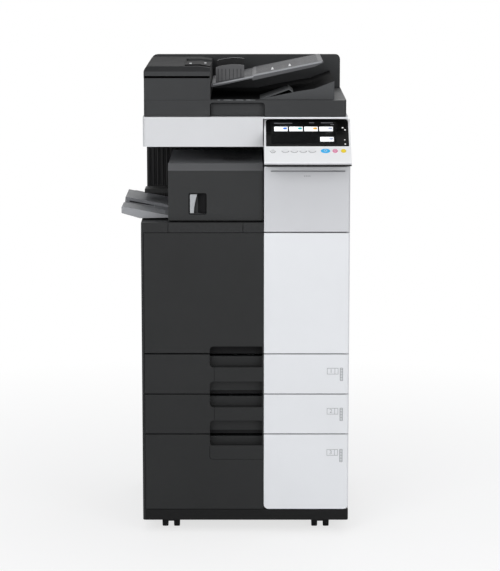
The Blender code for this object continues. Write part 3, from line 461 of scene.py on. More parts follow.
def make_looks():
    plastic("white cover", (0.70, 0.71, 0.725), roughness=0.42, pitch=1000, depth=0.00005,
            drift=0.02, dust=0.0, handling=0.04, shine=0.35)
    # A darker copy of the white plastic: painted shade on the scanner under the lid.
    plastic("white painted shade scanner", (0.59, 0.595, 0.605), roughness=0.45, pitch=1000, depth=0.00005,
            drift=0.02, dust=0.0, shine=0.35)
    # A darker copy of the white plastic: painted shade on the upper door under the console and on the console's
    # downward faces.
    plastic("white painted shade upper", (0.55, 0.555, 0.57), roughness=0.42, pitch=1000, depth=0.00005,
            drift=0.02, dust=0.0, handling=0.04, shine=0.35)
    # A lighter copy of the white plastic: painted light on the console, which faces up.
    plastic("white painted light console", (0.80, 0.805, 0.81), roughness=0.36, pitch=1200, depth=0.00003,
            drift=0.015, dust=0.0, coat=0.1, shine=0.35)
    plastic("grey side cover", (0.56, 0.57, 0.58), roughness=0.45, pitch=1000, depth=0.00006,
            drift=0.03, dust=0.0, shine=0.35)
    plastic("dark cover", (0.0112, 0.0117, 0.0119), roughness=0.46, pitch=850, depth=0.00010,
            drift=0.10, dust=0.002, pale_edge_amount=0.15, pale_edge_colour=(0.06, 0.06, 0.065), shine=0.28)
    plastic("dark feeder", (0.030, 0.031, 0.032), roughness=0.55, pitch=850, depth=0.00010,
            drift=0.10, dust=0.002, pale_edge_amount=0.12, pale_edge_colour=(0.10, 0.10, 0.10), shine=0.22)
    # A darker, duller copy of the feeder plastic: painted shade on the feeder cover's upward faces.
    plastic("dark feeder top painted shade", (0.026, 0.0265, 0.027), roughness=0.7, pitch=850, depth=0.00010,
            drift=0.10, dust=0.002, pale_edge_amount=0.12, pale_edge_colour=(0.08, 0.08, 0.08), shine=0.05)
    plastic("dark finisher", (0.0175, 0.0182, 0.0186), roughness=0.46, pitch=850, depth=0.00009,
            drift=0.08, dust=0.002, pale_edge_amount=0.12, pale_edge_colour=(0.09, 0.09, 0.09), shine=0.28)
    plastic("dark lever", (0.010, 0.010, 0.0105), roughness=0.65, pitch=400, depth=0.00001,
            drift=0.05, dust=0.0, shine=0.05)
    # A lighter copy of the finisher plastic: painted highlight on the door's top edge.
    plastic("finisher edge painted highlight", (0.080, 0.081, 0.084), roughness=0.5, pitch=850, depth=0.00009,
            drift=0.05, dust=0.0, shine=0.2)
    # A lighter copy of the finisher plastic: painted light on its top under the scanner.
    plastic("finisher top painted light", (0.15, 0.153, 0.158), roughness=0.7, pitch=850, depth=0.00009,
            drift=0.05, dust=0.0, shine=0.05)
    # Near black: painted shade in the recess under the document tray.
    plastic("wing painted shade", (0.006, 0.006, 0.0062), roughness=0.7, pitch=850, depth=0.00009,
            drift=0.05, dust=0.0, shine=0.02)
    # A lighter grey for the wing's front face, and a painted highlight on the exit flap.
    plastic("wing grey and painted highlight", (0.060, 0.062, 0.064), roughness=0.55, pitch=850, depth=0.00009,
            drift=0.08, dust=0.002, shine=0.2)
    plastic("dark inside", (0.007, 0.007, 0.0075), roughness=0.65, pitch=700, depth=0.00010,
            drift=0.1, dust=0.0, shine=0.12)
    # Near black: joint lines, and painted shade in gaps and round hollows.
    plastic("gap black and painted shade", (0.0015, 0.0015, 0.0015), roughness=0.9, pitch=700, depth=0.00002,
            drift=0.1, dust=0.0, shine=0.0)
    # A darker copy of the dark plastic: painted shade on the plinth under the trays.
    plastic("plinth dark and painted shade", (0.003, 0.0031, 0.0032), roughness=0.6, pitch=850, depth=0.00010,
            drift=0.1, dust=0.004, pale_edge_amount=0.2, pale_edge_colour=(0.05, 0.05, 0.05), shine=0.2)
    plastic("tray grey", (0.19, 0.195, 0.205), roughness=0.45, pitch=900, depth=0.00008, drift=0.05,
            dust=0.004, pale_edge_amount=0.2, pale_edge_colour=(0.36, 0.36, 0.36), shine=0.3)
    plastic("document tray grey", (0.085, 0.086, 0.090), roughness=0.5, pitch=900, depth=0.00006,
            drift=0.05, dust=0.003, pale_edge_amount=0.2, pale_edge_colour=(0.25, 0.25, 0.25), shine=0.16)
    plastic("guide grey", (0.085, 0.085, 0.087), roughness=0.55, pitch=900, depth=0.00006,
            drift=0.05, dust=0.0, pale_edge_amount=0.2, pale_edge_colour=(0.3, 0.3, 0.3), shine=0.15)
    # A near-black copy of the guide plastic: painted shade on the rear guide and on the ribs.
    plastic("guide painted shade", (0.007, 0.007, 0.0075), roughness=0.6, pitch=900, depth=0.00006,
            drift=0.05, dust=0.0, pale_edge_amount=0.2, pale_edge_colour=(0.16, 0.16, 0.16), shine=0.25)
    # A pale grey: painted highlight on lit edges and front faces, and the groove line on the upper door.
    plastic("edge grey and painted highlight", (0.27, 0.275, 0.285), roughness=0.4, pitch=900, depth=0.00004, drift=0.04,
            dust=0.0, pale_edge_amount=0.1, pale_edge_colour=(0.4, 0.4, 0.4), shine=0.3)
    plastic("lever grey", (0.36, 0.37, 0.38), roughness=0.35, pitch=900, depth=0.00005, drift=0.04,
            dust=0.0, pale_edge_amount=0.15, pale_edge_colour=(0.6, 0.6, 0.6))
    plastic("light inner", (0.50, 0.51, 0.51), roughness=0.42, pitch=900, depth=0.00006, drift=0.04,
            dust=0.0)
    plastic("mark ink", (0.30, 0.31, 0.32), roughness=0.5, pitch=900, depth=0.00002, drift=0.03,
            dust=0.0, shine=0.2)
    plastic("white mark", (0.78, 0.78, 0.78), roughness=0.5, pitch=900, depth=0.00002, drift=0.03,
            dust=0.0)
    plastic("grip green", (0.03, 0.33, 0.17), roughness=0.4, pitch=900, depth=0.00005, drift=0.05,
            dust=0.0, pale_edge_amount=0.2, pale_edge_colour=(0.3, 0.5, 0.4))
    plastic("cyan toner", (0.01, 0.36, 0.62), roughness=0.38, pitch=900, depth=0.00005, drift=0.05,
            dust=0.0)
    plastic("magenta toner", (0.62, 0.03, 0.26), roughness=0.38, pitch=900, depth=0.00005,
            drift=0.05, dust=0.0)
    plastic("yellow toner", (0.78, 0.58, 0.02), roughness=0.38, pitch=900, depth=0.00005,
            drift=0.05, dust=0.0)
    plastic("black toner", (0.02, 0.02, 0.02), roughness=0.38, pitch=900, depth=0.00005, drift=0.05,
            dust=0.0)
    plastic("milky tank", (0.62, 0.64, 0.62), roughness=0.35, pitch=500, depth=0.00003, drift=0.05,
            dust=0.0, coat=0.2)
    plastic("key white", (0.74, 0.745, 0.75), roughness=0.32, pitch=1200, depth=0.00002, drift=0.03,
            dust=0.0, coat=0.1, shine=0.35)
    # A mid grey for print, and for the painted shade under the pale keys.
    plastic("key grey and painted shade", (0.33, 0.335, 0.34), roughness=0.45, pitch=1200, depth=0.00002, drift=0.03,
            dust=0.0)
    plastic("key ink", (0.10, 0.11, 0.12), roughness=0.4, pitch=900, depth=0.00001, drift=0.02,
            dust=0.0)
    plastic("stop pink", (0.72, 0.20, 0.36), roughness=0.35, pitch=1200, depth=0.00002, drift=0.04,
            dust=0.0, coat=0.1)
    plastic("reset yellow", (0.78, 0.58, 0.004), roughness=0.35, pitch=1200, depth=0.00002,
            drift=0.04, dust=0.0, coat=0.1)
    plastic("start blue", (0.004, 0.42, 0.82), roughness=0.35, pitch=1200, depth=0.00002,
            drift=0.04, dust=0.0, coat=0.1)
    plastic("drum green", (0.02, 0.20, 0.16), roughness=0.14, pitch=300, depth=0.00001, drift=0.03,
            dust=0.0, coat=0.6)
    lit("screen tile", (0.82, 0.83, 0.84), 0.80)
    lit("screen line", (0.10, 0.10, 0.11), 0.5)
    lit("tile blue", (0.05, 0.16, 0.55), 0.6)
    lit("tile teal", (0.02, 0.34, 0.36), 0.6)
    lit("tile amber", (0.62, 0.33, 0.06), 0.6)
    lit("tile grey", (0.36, 0.40, 0.50), 0.6)
    lit("lamp white", (0.55, 0.55, 0.55), 0.7)
    galvanised("galvanised sheet")
    bright_metal("bright steel", (0.72, 0.73, 0.74), 0.25)
    screen_black("screen glass", (0.0022, 0.0023, 0.0025), 0.16)
    screen_black("screen field", (0.0040, 0.0042, 0.0045), 0.22)
    clear_glass("platen glass")
    rubber("wheel rubber", (0.008, 0.008, 0.0085))
    rubber("roller rubber", (0.05, 0.05, 0.055), 0.6)
    paper("paper stack")
    foam("white pad")
    ribbed_dark("ribbed bay wall", 6.5 * MM, (0.012, 0.012, 0.0125))


make_looks()


# ---------------------------------------------------------------- making shapes

def outline(points, steps):
    """A closed outline whose points may carry a corner radius: (a, b) or (a, b, radius)."""
    result = []
    for index, point in enumerate(points):
        here = Vector(point[:2])
        radius = point[2] if len(point) > 2 else 0
        if not radius:
            result.append(here)
            continue
        back = (Vector(points[index - 1][:2]) - here).normalized()
        ahead = (Vector(points[(index + 1) % len(points)][:2]) - here).normalized()
        half = back.angle(ahead) / 2
        centre = here + (back + ahead).normalized() * radius / math.sin(half)
        first = here + back * radius / math.tan(half) - centre
        sweep = first.angle_signed(here + ahead * radius / math.tan(half) - centre)
        for k in range(steps + 1):
            turn = Matrix.Rotation(-sweep * k / steps, 2)
            result.append(centre + turn @ first)
    return result


def rect(a, b, radius):
    """The outline of a rectangle, with one corner radius or four."""
    radii = (radius,) * 4 if isinstance(radius, (int, float)) else radius
    corners = ((a[0], b[0]), (a[1], b[0]), (a[1], b[1]), (a[0], b[1]))
    return [(*corner, r) for corner, r in zip(corners, radii)]


def add_prism(bm, points, axis, span, steps=6):
    """An outline drawn out along an axis."""
    a, b, c = AXES[axis]
    rings = []
    for level in span:
        ring = []
        for point in outline(points, steps):
            place = [0.0, 0.0, 0.0]
            place[a], place[b], place[c] = point[0], point[1], level
            ring.append(bm.verts.new(place))
        rings.append(ring)
    faces = [bm.faces.new(rings[0]), bm.faces.new(rings[1])]
    count = len(rings[0])
    for i in range(count):
        j = (i + 1) % count
        faces.append(bm.faces.new((rings[0][i], rings[0][j], rings[1][j], rings[1][i])))
    bmesh.ops.recalc_face_normals(bm, faces=faces)
    return [v for ring in rings for v in ring]


def add_box(bm, x, y, z, radius=0.0, axis="Z", steps=4):
    """A box from its three spans; radius rounds the edges that run along axis."""
    spans = (x, y, z)
    a, b, c = AXES[axis]
    return add_prism(bm, rect(spans[a], spans[b], radius), axis, spans[c], steps)


def add_lathe(bm, profile, axis, centre, steps):
    """Turns (radius, along) pairs about an axis; a closed profile makes a ring."""
    a, b, c = AXES[axis]
    rings = []
    for k in range(steps):
        angle = 2 * math.pi * k / steps
        ring = []
        for radius, along in profile:
            place = list(centre)
            place[a] += radius * math.cos(angle)
            place[b] += radius * math.sin(angle)
            place[c] += along
            ring.append(bm.verts.new(place))
        rings.append(ring)
    faces = []
    count = len(profile)
    for k in range(steps):
        first, second = rings[k], rings[(k + 1) % steps]
        for i in range(count):
            j = (i + 1) % count
            faces.append(bm.faces.new((first[i], first[j], second[j], second[i])))
    bmesh.ops.recalc_face_normals(bm, faces=faces)
    return [v for ring in rings for v in ring]


def add_disc(bm, axis, centre, radius, span, steps, edge):
    """A solid round bar with softened rims."""
    edge = min(edge, radius * 0.4, (span[1] - span[0]) * 0.4)
    a, b, c = AXES[axis]
    rings = []
    for level, r in ((span[0], radius - edge), (span[0] + edge, radius),
                     (span[1] - edge, radius), (span[1], radius - edge)):
        ring = []
        for k in range(steps):
            angle = 2 * math.pi * k / steps
            place = [0.0, 0.0, 0.0]
            place[a] = centre[0] + r * math.cos(angle)
            place[b] = centre[1] + r * math.sin(angle)
            place[c] = level
            ring.append(bm.verts.new(place))
        rings.append(ring)
    faces = [bm.faces.new(rings[0]), bm.faces.new(rings[-1])]
    for low, high in zip(rings, rings[1:]):
        for k in range(steps):
            j = (k + 1) % steps
            faces.append(bm.faces.new((low[k], low[j], high[j], high[k])))
    bmesh.ops.recalc_face_normals(bm, faces=faces)
    return [v for ring in rings for v in ring]


def drawn(add, *measures):
    """A fresh drawing that holds one shape, made by one of the functions above."""
    bm = bmesh.new()
    add(bm, *measures)
    return bm


def to_object(name, bm):
    mesh = bpy.data.meshes.new(name)
    bm.to_mesh(mesh)
    bm.free()
    made = bpy.data.objects.new(name, mesh)
    bpy.context.scene.collection.objects.link(made)
    return made


WELD = 1e-6
FLAT_ANGLE = math.radians(0.6)
EDGE_ANGLE = math.radians(32)
SHARP_ANGLE = math.radians(50)
FACE_WEIGHT = 80
BROAD_FACE = 12 * MM
SQUARE_ON = 0.99999


def settle(obj):
    """Applies an object's modifiers, so that it is one plain mesh."""
    bpy.context.view_layer.update()
    graph = bpy.context.evaluated_depsgraph_get()
    mesh = bpy.data.meshes.new_from_object(obj.evaluated_get(graph))
    obj.modifiers.clear()
    old = obj.data
    obj.data = mesh
    bpy.data.meshes.remove(old)
    return obj


def soften(obj, width, segments=3):
    """Rounds every sharp edge a little and shades the result evenly."""
    if width:
        bm = bmesh.new()
        bm.from_mesh(obj.data)
        bmesh.ops.triangulate(bm, faces=[f for f in bm.faces if len(f.verts) > 4],
                              ngon_method="BEAUTY")
        bm.to_mesh(obj.data)
        bm.free()
    for face in obj.data.polygons:
        face.use_smooth = True
    if width:
        bevel = obj.modifiers.new("edges", "BEVEL")
        bevel.width = width
        bevel.segments = segments
        bevel.limit_method = "ANGLE"
        bevel.angle_limit = EDGE_ANGLE
    even = obj.modifiers.new("even", "WEIGHTED_NORMAL")
    even.keep_sharp = True
    even.weight = FACE_WEIGHT
    settle(obj)
    obj.data.set_sharp_from_angle(angle=SHARP_ANGLE)
    if width:
        keep_flat(obj.data)
    return obj


def keep_flat(mesh):
    """Shades the flat faces by their own direction, so that small cut edges don't tint them."""
    normals = [Vector(corner.vector) for corner in mesh.corner_normals]
    for face in mesh.polygons:
        corners = [mesh.vertices[index].co for index in face.vertices]
        longest = max((a - b).length for a, b in zip(corners, corners[1:] + corners[:1]))
        square_on = max(abs(part) for part in face.normal) > SQUARE_ON
        if square_on or 2 * face.area > BROAD_FACE * longest:
            for loop in face.loop_indices:
                normals[loop] = face.normal.copy()
    mesh.normals_split_custom_set(normals)


def carve(obj, cutter):
    """Cuts one shape out of another and throws the cutter away."""
    modifier = obj.modifiers.new("carve", "BOOLEAN")
    modifier.operation = "DIFFERENCE"
    modifier.solver = "EXACT"
    modifier.object = cutter
    settle(obj)
    bpy.data.objects.remove(cutter)


def finish(obj, look, body, replaced=()):
    """Gives a piece its finish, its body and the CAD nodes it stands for."""
    obj.data.materials.clear()
    obj.data.materials.append(LOOKS[look])
    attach(obj, body)
    if replaced:
        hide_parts(*replaced)
    return obj


def paint(obj, look, chosen):
    """Gives the faces that pass a test a second finish."""
    obj.data.materials.append(LOOKS[look])
    for face in obj.data.polygons:
        if chosen(face):
            face.material_index = len(obj.data.materials) - 1


def piece(name, bm, look, body, width, replaced=(), segments=2):
    """A finished piece from a drawn shape, its edges rounded by width."""
    made = soften(to_object(name, bm), width, segments)
    return finish(made, look, body, replaced)


def copy_of(node_name, label):
    """A welded copy of a CAD node with its flat faces whole, ready for rounding and cutting."""
    bm = bmesh.new()
    bm.from_mesh(NODES[node_name].data)
    bmesh.ops.remove_doubles(bm, verts=bm.verts, dist=WELD)
    bmesh.ops.dissolve_limit(bm, angle_limit=FLAT_ANGLE, verts=bm.verts, edges=bm.edges)
    bmesh.ops.recalc_face_normals(bm, faces=bm.faces)
    return to_object(label, bm)


def refine(node_name, look, width, cutters=(), segments=3):
    """Replaces a CAD node by its own shape with cuts, rounded edges and a finish."""
    made = copy_of(node_name, node_name + "_shape")
    for cutter in cutters:
        carve(made, cutter)
    soften(made, width, segments)
    return finish(made, look, BODY[node_name], (node_name,))


def words(name, text, size, depth, matrix, look, body):
    """Plain figures or signs, made a mesh and set on a surface."""
    curve = bpy.data.curves.new(name, "FONT")
    curve.body = text
    curve.size = size
    curve.extrude = depth
    curve.align_x = "CENTER"
    curve.align_y = "CENTER"
    made = bpy.data.objects.new(name, curve)
    bpy.context.scene.collection.objects.link(made)
    bpy.context.view_layer.update()
    graph = bpy.context.evaluated_depsgraph_get()
    mesh = bpy.data.meshes.new_from_object(made.evaluated_get(graph))
    bpy.data.objects.remove(made)
    mesh.transform(matrix)
    solid = bpy.data.objects.new(name, mesh)
    bpy.context.scene.collection.objects.link(solid)
    return finish(solid, look, body)


# ---------------------------------------------------------------- repeated features

def make_row_tree():
    """A tree that repeats the object's own mesh along a grid of columns and rows."""
    tree = bpy.data.node_groups.new("rows and columns", "GeometryNodeTree")
    tree.interface.new_socket(name="Shape", in_out="INPUT", socket_type="NodeSocketGeometry")
    for label, kind in (("Columns", "NodeSocketInt"), ("Rows", "NodeSocketInt"),
                        ("Column step", "NodeSocketVector"), ("Row step", "NodeSocketVector"),
                        ("Finish", "NodeSocketMaterial")):
        tree.interface.new_socket(name=label, in_out="INPUT", socket_type=kind)
    tree.interface.new_socket(name="Shape", in_out="OUTPUT", socket_type="NodeSocketGeometry")
    given = tree.nodes.new("NodeGroupInput")
    out = tree.nodes.new("NodeGroupOutput")
    source = given.outputs["Shape"]
    for count, step in (("Columns", "Column step"), ("Rows", "Row step")):
        line = tree.nodes.new("GeometryNodeMeshLine")
        line.mode = "OFFSET"
        wire(tree, (given.outputs[count], line.inputs["Count"]),
             (given.outputs[step], line.inputs["Offset"]))
        spots = tree.nodes.new("GeometryNodeInstanceOnPoints")
        wire(tree, (line.outputs["Mesh"], spots.inputs["Points"]),
             (source, spots.inputs["Instance"]))
        source = spots.outputs["Instances"]
    real = tree.nodes.new("GeometryNodeRealizeInstances")
    paint = tree.nodes.new("GeometryNodeSetMaterial")
    wire(tree, (source, real.inputs[0]), (real.outputs[0], paint.inputs["Geometry"]),
         (given.outputs["Finish"], paint.inputs["Material"]),
         (paint.outputs["Geometry"], out.inputs[0]))
    return tree


ROW_TREE = make_row_tree()


def repeat(obj, look, columns, column_step, rows, row_step):
    """Repeats a small shape and leaves one plain mesh."""
    modifier = obj.modifiers.new("rows", "NODES")
    modifier.node_group = ROW_TREE
    values = {"Columns": columns, "Rows": rows, "Column step": Vector(column_step),
              "Row step": Vector(row_step), "Finish": LOOKS[look]}
    for item in ROW_TREE.interface.items_tree:
        if item.in_out == "INPUT" and item.name in values:
            modifier[item.identifier] = values[item.name]
    obj.update_tag()
    return settle(obj)


def row_of(name, bm, look, body, columns, column_step, rows=1, row_step=(0, 0, 0), width=0.0):
    """A finished piece made of one small shape in rows and columns."""
    made = to_object(name, bm)
    soften(made, width, 2)
    repeat(made, look, columns, column_step, rows, row_step)
    return finish(made, look, body)


def row_cutter(name, bm, columns, column_step, rows=1, row_step=(0, 0, 0)):
    """A cutter for slots in rows and columns."""
    return repeat(to_object(name, bm), "dark inside", columns, column_step, rows, row_step)


# ---------------------------------------------------------------- cabinet

def make_screw_heads(name, places):
    """Round recessed screw heads on the rear cover."""
    radius, bore = 3.2 * MM, 0.2 * MM
    profile = [(bore, -0.3 * MM), (radius, -0.3 * MM), (radius, 0.5 * MM),
               (radius * 0.8, 1.2 * MM), (radius * 0.42, 1.5 * MM), (radius * 0.3, 0.9 * MM),
               (bore, 0.8 * MM)]
    bm = bmesh.new()
    for place in places:
        add_lathe(bm, profile, "Y", place, 20)
    piece(name, bm, "bright steel", "cabinet", 0)


def make_cabinet():
    refine("base_plate", "dark inside", 1.2 * MM)
    make_left_side()
    make_right_side()
    make_rear()
    refine("deck_cover", "dark cover", 1.2 * MM)
    refine("bay_liner", "ribbed bay wall", 0.5 * MM)
    inner = refine("main_frame", "galvanised sheet", 0.7 * MM, segments=2)
    paint(inner, "dark inside", lambda face: face.center.y < FRONT_Y + 60 * MM)
    make_plinth()
    make_bay_ledge()


def make_left_side():
    """The dark left cover, with its vent and the line above its foot."""
    low, high = lo("left_cover"), hi("left_cover")
    vent = drawn(add_box, (low.x - 5 * MM, low.x + 1.6 * MM), (high.y - 190 * MM, high.y - 60 * MM),
                 (0, 4 * MM), 1.9 * MM, "X")
    for v in vent.verts:
        v.co.z += high.z * 0.60
    slots = row_cutter("left_vent_slots", vent, 1, (0, 0, 0), 14, (0, 0, 9 * MM))
    panel = drawn(add_box, (low.x - 5 * MM, low.x + 1.2 * MM), (low.y + 60 * MM, high.y - 40 * MM),
                  (low.z + 28 * MM, low.z + 31 * MM))
    refine("left_cover", "dark cover", 1.2 * MM, (slots, to_object("left_line", panel)))


def make_plinth():
    """The skirt that closes the foot of the cabinet all round, near black: painted shade under the lowest tray."""
    low, high = lo("base_plate"), hi("base_plate")
    wall, proud = 5 * MM, 0.3 * MM
    x = (lo("left_cover").x - proud, hi("right_cover").x + proud)
    y = (FRONT_Y + 0.6 * MM, hi("rear_cover").y + proud)
    top = lo("front_tray_3").z - 1.6 * MM
    bm = drawn(add_box, x, y, (low.z, top), 7 * MM, "Z", 6)
    skirt = to_object("plinth_skirt", bm)
    hole = drawn(add_box, (x[0] + wall, x[1] - wall), (y[0] + wall, y[1] - wall),
                 (low.z - 1 * MM, high.z + 9 * MM), 3 * MM, "Z", 6)
    carve(skirt, to_object("skirt_hollow", hole))
    soften(skirt, 1.6 * MM, 3)
    finish(skirt, "plinth dark and painted shade", "cabinet")


def make_right_side():
    """The right cover with its vent, the side door on its pins and the bypass tray."""
    low, high = lo("right_cover"), hi("right_cover")
    vent = drawn(add_box, (high.x - 1.6 * MM, high.x + 5 * MM),
                 (high.y - 200 * MM, high.y - 50 * MM), (high.z * 0.20, high.z * 0.20 + 4 * MM),
                 1.9 * MM, "X")
    slots = row_cutter("right_vent_slots", vent, 1, (0, 0, 0), 12, (0, 0, 9 * MM))
    refine("right_cover", "grey side cover", 1.0 * MM, (slots,))
    door_low, door_high = lo("side_door"), hi("side_door")
    line = drawn(add_box, (door_high.x - 1.2 * MM, door_high.x + 5 * MM),
                 (door_low.y + 14 * MM, door_low.y + 16 * MM),
                 (door_low.z + 12 * MM, door_high.z - 12 * MM))
    refine("side_door", "grey side cover", 1.6 * MM, (to_object("side_line", line),))
    refine("bypass_tray", "grey side cover", 1.2 * MM)
    low, high = lo("bypass_tray"), hi("bypass_tray")
    rib = drawn(add_box, (low.x + 0.2 * MM, low.x + 1.0 * MM), (low.y + 25 * MM, low.y + 28 * MM),
                (low.z + 20 * MM, high.z - 25 * MM))
    row_of("bypass_ribs", rib, "grey side cover", BODY["bypass_tray"], 10, (0, 25 * MM, 0))
    hinge = bmesh.new()
    for z in (door_low.z + 40 * MM, door_high.z - 60 * MM):
        add_disc(hinge, "Z", (door_high.x - 3 * MM, door_high.y - 3.2 * MM), 2.6 * MM,
                 (z, z + 22 * MM), 20, 0.4 * MM)
    piece("side_hinge_pins", hinge, "bright steel", BODY["side_door"], 0)


def make_rear():
    """The rear cover with its slots, its joint line and screws, and the power inlet."""
    low, high = lo("rear_cover"), hi("rear_cover")
    width = high.x - low.x
    depth = (high.y - 6 * MM, high.y + 5 * MM)
    upright = bmesh.new()
    x, z = low.x + 0.12 * width, high.z * 0.70
    add_box(upright, (x, x + 4 * MM), depth, (z, z + 70 * MM), 1.9 * MM, "Y")
    slots = row_cutter("rear_slots", upright, 28, (9 * MM, 0, 0), 2, (0, 0, 84 * MM))
    level = bmesh.new()
    x, z = low.x + 0.14 * width, high.z * 0.24
    add_box(level, (x, x + 60 * MM), depth, (z, z + 4 * MM), 1.9 * MM, "Y")
    lower = row_cutter("rear_low_slots", level, 3, (72 * MM, 0, 0), 10, (0, 0, 10 * MM))
    joint = high.z * 0.46
    line = drawn(add_box, (low.x - 1 * MM, high.x + 1 * MM), (high.y - 1.4 * MM, high.y + 5 * MM),
                 (joint, joint + 2.5 * MM))
    cutters = (slots, lower, to_object("rear_line", line))
    refine("rear_cover", "grey side cover", 1.4 * MM, cutters, 2)
    spots = [(x, high.y, z) for x in (low.x + 14 * MM, CENTRE_X, high.x - 14 * MM)
             for z in (low.z + 20 * MM, joint - 12 * MM, joint + 14 * MM, high.z - 14 * MM)]
    make_screw_heads("rear_screws", spots)
    refine("power_inlet", "dark inside", 0.8 * MM)
    inlet_high = hi("power_inlet")
    centre = mid("power_inlet")
    pins = bmesh.new()
    for across, up in ((-7, -2), (7, -2), (0, 3)):
        add_box(pins, about(centre.x + across * MM, 1 * MM),
                (inlet_high.y - 9.6 * MM, inlet_high.y - 1.5 * MM),
                about(centre.z + up * MM, 2.2 * MM), 0.4 * MM, "Y")
    piece("inlet_pins", pins, "bright steel", "cabinet", 0)


def make_bay_ledge():
    """The output bay's back: its dark ledge, its ribs, and the bracket over the tray."""
    low, high = lo("bay_liner"), hi("bay_liner")
    bm = drawn(add_box, (low.x + 1 * MM, high.x - 2 * MM), (low.y - 5 * MM, low.y + 1 * MM),
               (low.z + 44 * MM, low.z + 52 * MM), 1.5 * MM, "X")
    piece("bay_ledge", bm, "dark inside", "cabinet", 0.6 * MM)
    case, side = lo("finisher_case"), lo("left_cover").x
    bm = drawn(add_box, (side, case.x + 1 * MM), (-16 * MM, 44 * MM),
               (case.z + 51 * MM, case.z + 63 * MM), 2 * MM, "Y")
    piece("exit_bracket", bm, "dark cover", "finisher", 1 * MM)
    rib = drawn(add_box, (low.x + 8 * MM, low.x + 10.5 * MM), (low.y - 1.6 * MM, low.y + 0.5 * MM),
                (low.z + 56 * MM, high.z - 6 * MM))
    row_of("bay_wall_ribs", rib, "dark inside", "cabinet", 25, (13 * MM, 0, 0))


# ---------------------------------------------------------------- casters

def make_caster(place):
    """One caster: two tyred wheels on an axle, its fork and the hood over them."""
    wheels, fork = "caster_wheels_" + place, "caster_fork_" + place
    centre = mid(wheels)
    radius = (hi(wheels).z - lo(wheels).z) / 2
    outer = (hi(wheels).x - lo(wheels).x) / 2
    inner = min((hi(fork).x - lo(fork).x) / 2, 8 * MM)
    width = outer - inner
    tyre = [(radius - 7 * MM, 0.4 * MM), (radius - 1.5 * MM, 0.2 * MM),
            (radius - 0.3 * MM, 1.5 * MM), (radius, 4 * MM),
            (radius, width - 4 * MM), (radius - 0.3 * MM, width - 1.5 * MM),
            (radius - 1.5 * MM, width - 0.2 * MM), (radius - 7 * MM, width - 0.4 * MM)]
    hub = [(0.4 * MM, 1 * MM), (radius - 7.2 * MM, 1 * MM),
           (radius - 7.2 * MM, width - 1.6 * MM), (radius - 9 * MM, width - 1.2 * MM),
           (radius - 11 * MM, width - 3.4 * MM), (6 * MM, width - 3.4 * MM),
           (4.6 * MM, width - 0.8 * MM), (0.4 * MM, width - 0.6 * MM)]
    for label, sign in (("left", -1), ("right", 1)):
        for part, profile, look, steps in (("tyre", tyre, "wheel rubber", 56),
                                           ("hub", hub, "dark cover", 40)):
            bm = drawn(add_lathe, [(r, sign * (inner + along)) for r, along in profile], "X",
                       centre, steps)
            piece(f"caster_{part}_{label}_{place}", bm, look, BODY[wheels], 0)
    bm = drawn(add_disc, "X", (centre.y, centre.z), 4 * MM, about(centre.x, outer - 2 * MM), 24,
               0.6 * MM)
    piece("caster_axle_" + place, bm, "bright steel", BODY[wheels], 0, replaced=(wheels,))
    refine(fork, "dark cover", 0.8 * MM)
    bm = bmesh.new()
    arc = [math.radians(angle) for angle in range(28, 153, 8)]
    above = radius + 2.2 * MM
    points = [(centre.y + reach * math.cos(angle), centre.z + reach * math.sin(angle))
              for reach, way in ((above, arc), (above - 1.5 * MM, arc[::-1])) for angle in way]
    add_prism(bm, points, "X", about(centre.x, outer - 1 * MM))
    piece("caster_hood_" + place, bm, "dark cover", BODY[fork], 0.4 * MM)


# ---------------------------------------------------------------- fronts, doors and trays

SHEET_LONG, SHEET_WIDE = 420 * MM, 297 * MM


def make_tray(number):
    """One paper tray: its box and fronts, the ream on its lift plate, the fences and rails."""
    tray, front = f"tray_{number}", f"front_tray_{number}"
    body = BODY[tray]
    refine(tray, "dark cover", 0.9 * MM)
    refine(front, "white cover", 0.9 * MM)
    make_label(number, body, hi(front).x, lo(front).y, hi(front).z)
    make_tray_face(number, body)
    low, high = lo(tray), hi(tray)
    floor, back = low.z + 11.6 * MM, high.y - 12 * MM
    top = floor + 0.36 * (high.z - low.z)
    fence_top = min(high.z - 26 * MM, top + 28 * MM)
    paper_y = (back - 33 * MM - SHEET_WIDE, back - 33 * MM)
    bm = drawn(add_box, about(CENTRE_X, SHEET_LONG / 2), paper_y, (floor + 3 * MM, top))
    piece(f"paper_{number}", bm, "paper stack", body, 0.3 * MM)
    bm = drawn(add_box, about(CENTRE_X, SHEET_LONG / 2 + 15 * MM),
               (paper_y[0] - 15 * MM, back - 10 * MM), (floor + 0.4 * MM, floor + 2.6 * MM),
               12 * MM)
    piece(f"lift_plate_{number}", bm, "galvanised sheet", body, 0.3 * MM)
    half, arm, fall = 60 * MM, 30 * MM, 14 * MM
    fence = [(CENTRE_X - half, floor, 0), (CENTRE_X + half, floor, 0),
             (CENTRE_X + half, fence_top - fall, 4 * MM), (CENTRE_X + arm, fence_top, 6 * MM),
             (CENTRE_X - arm, fence_top, 6 * MM), (CENTRE_X - half, fence_top - fall, 4 * MM)]
    for label, y in (("front", paper_y[0] - 4 * MM), ("rear", paper_y[1] + 1 * MM)):
        bm = drawn(add_prism, fence, "Y", (y - 3 * MM, y))
        piece(f"side_fence_{label}_{number}", bm, "light inner", body, 0.5 * MM)
    bm = bmesh.new()
    end = CENTRE_X + SHEET_LONG / 2 + 3 * MM
    add_box(bm, (end, end + 4 * MM), (back - 215 * MM, back - 150 * MM),
            (floor, fence_top - 6 * MM), 4 * MM, "X")
    piece(f"end_fence_{number}", bm, "grip green", body, 0.5 * MM)
    bm = bmesh.new()
    for sign in (-1, 1):
        add_box(bm, about(CENTRE_X + sign * (HALF_W - 24.48 * MM), 0.33 * MM),
                (low.y + 20 * MM, back),
                (low.z + 14 * MM, low.z + 22 * MM), 0.3 * MM, "Y")
    piece(f"rails_{number}", bm, "bright steel", body, 0)


